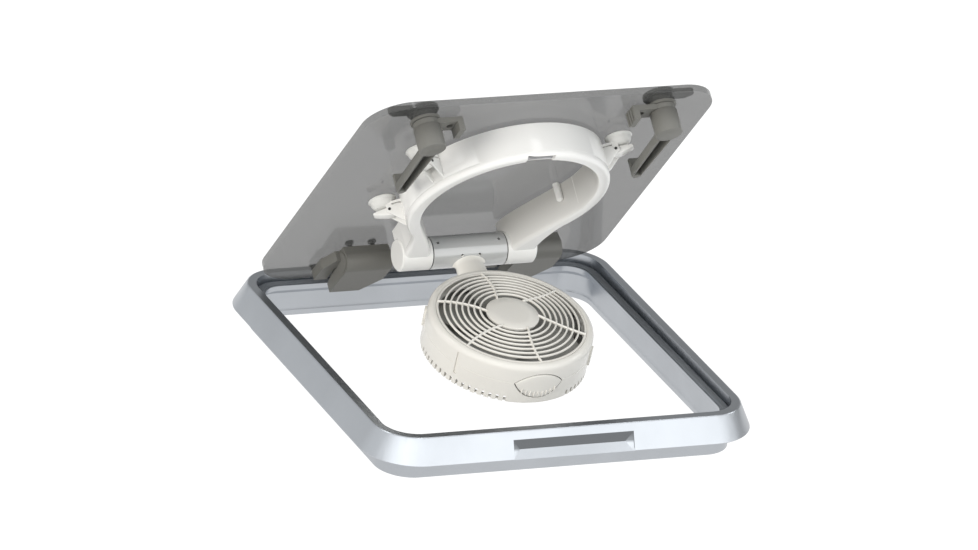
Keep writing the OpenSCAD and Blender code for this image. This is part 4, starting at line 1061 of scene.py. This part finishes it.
# %% Floor and light
class Surroundings(Wiring):
    def __init__(self, tree):
        self.tree = tree
        path = self.node("ShaderNodeLightPath", out="Is Camera Ray").socket.node
        camera_ray, gloss, clear = (
            Signal(tree, path.outputs[name]) for name in ("Is Camera Ray", "Is Glossy Ray", "Is Transmission Ray")
        )
        self.seen = camera_ray.math("MAXIMUM", camera_ray, clear)
        self.gloss = gloss

    def pick(self, plain, seen, gloss):
        """One value for the light that surfaces spread, one for what is seen, one for what gloss mirrors."""
        base = (1.0 - self.seen) * (1.0 - self.gloss) * plain
        return base + self.seen * seen + (1.0 - self.seen) * self.gloss * gloss


floor_paint = bpy.data.materials.new("floor_paint")
floor_paint.use_nodes = True
floor_nodes = Surroundings(floor_paint.node_tree)
paint = floor_paint.node_tree.nodes["Principled BSDF"]
paint.inputs["Base Color"].default_value = (0.88, 0.88, 0.88, 1)
paint.inputs["Roughness"].default_value = 0.9
glow = floor_nodes.node("ShaderNodeEmission", {}, {
    "Color": (1, 1, 1, 1), "Strength": floor_nodes.pick(1.0, 1.15, 0.92)
})
blend = floor_nodes.node("ShaderNodeMixShader", {}, {
    0: floor_nodes.pick(0.0, 0.9, 1.0), 1: Signal(floor_nodes.tree, paint.outputs[0]), 2: glow
})
wire(floor_nodes.tree, floor_nodes.tree.nodes["Material Output"].inputs["Surface"], blend)

floor_mesh = bpy.data.meshes.new("floor")
floor_mesh.from_pydata([(-30, -30, 0), (30, -30, 0), (30, 30, 0), (-30, 30, 0)], [], [(0, 1, 2, 3)])
floor = bpy.data.objects.new("floor", floor_mesh)
floor.data.transform(Matrix.Translation((0, 0, -0.0005)))
floor.data.materials.append(floor_paint)
scene.collection.objects.link(floor)

world = bpy.data.worlds.new("studio")
world.use_nodes = True
scene.world = world
studio = Surroundings(world.node_tree)
toward_sky = studio.node("ShaderNodeTexCoord", out="Generated")
across, ahead, _ = studio.split(toward_sky)
SKY_LIGHT, REAR_TONE, LEFT_TONE, FRONT_TONE = 0.68, 0.36, 0.55, 1.5
mirrored_tone = (across * -1.2).clamped() * LEFT_TONE + (ahead * -1.3).clamped() * FRONT_TONE + REAR_TONE


def lit_window(direction, half_wide, half_high):
    """A bright opening that only gloss mirrors: 1 inside it and 0 outside."""
    middle = Vector(direction).normalized()
    wide = middle.cross(Vector((0, 0, 1))).normalized()
    high = wide.cross(middle)
    made = (studio.dot(toward_sky, tuple(middle)) * 10.0).clamped()
    for axis, half in ((wide, half_wide), (high, half_high)):
        made = made * ((half - abs(studio.dot(toward_sky, tuple(axis)))) * 60.0).clamped()
    return made


WINDOWS = (((0.85, -0.1, 0.5), 0.1, 0.14), ((-0.55, 0.25, 0.8), 0.1, 0.14), ((0.25, -0.3, 0.92), 0.16, 0.06))
WINDOW_TONE = 3.5
for direction, half_wide, half_high in WINDOWS:
    mirrored_tone = mirrored_tone + lit_window(direction, half_wide, half_high) * WINDOW_TONE
sky = world.node_tree.nodes["Background"]
sky.inputs["Color"].default_value = (0.985, 0.995, 1.0, 1)
wire(studio.tree, sky.inputs["Strength"], studio.pick(SKY_LIGHT, 1.06, mirrored_tone))


def stand(name, light, direction, metres):
    """Hangs a lamp that looks at the middle of the hatch from the given direction."""
    holder = bpy.data.objects.new(name, light)
    toward_lamp = Vector(direction).normalized()
    middle = Vector((0, 0, 0.15))
    holder.matrix_world = (
        Matrix.Translation(middle + toward_lamp * metres) @ toward_lamp.to_track_quat("Z", "Y").to_matrix().to_4x4()
    )
    holder.visible_glossy = False
    scene.collection.objects.link(holder)


sun = bpy.data.lights.new("sun", "SUN")
sun.energy, sun.angle, sun.color = 1.5, math.radians(30), (1.0, 0.975, 0.93)
stand("sun", sun, (-0.9, -0.42, 0.3), 4)
panel = bpy.data.lights.new("panel", "AREA")
panel.shape, panel.size, panel.energy, panel.color = "SQUARE", 1.2, 17, (0.93, 0.97, 1.0)
stand("panel", panel, (0.62, -0.75, 0.28), 2.6)
print("lights: sky, sun and panel")

# %% [markdown]
# Last, the solids that only want their edges softened, each with the width of its bevel in millimetres.

# %% Finish off
PLAIN_EDGES = {
    "base_frame": 0.8, "lid_pane": 1.0, "hinge_arm_left": 1.2, "hinge_arm_right": 1.2,
    "hinge_bracket_left": 0.5, "hinge_bracket_right": 0.5, "outer_handle_left": 1.0, "outer_handle_right": 1.0,
    "latch_cam_left": 0.7, "latch_cam_right": 0.7, "loop_shell": 0.6,
    "pivot_cap_left": 0.5, "pivot_cap_right": 0.5, "power_inlet": 0.5, "motor_can": 0.8,
}
for node, width in PLAIN_EDGES.items():
    soften(node, width)
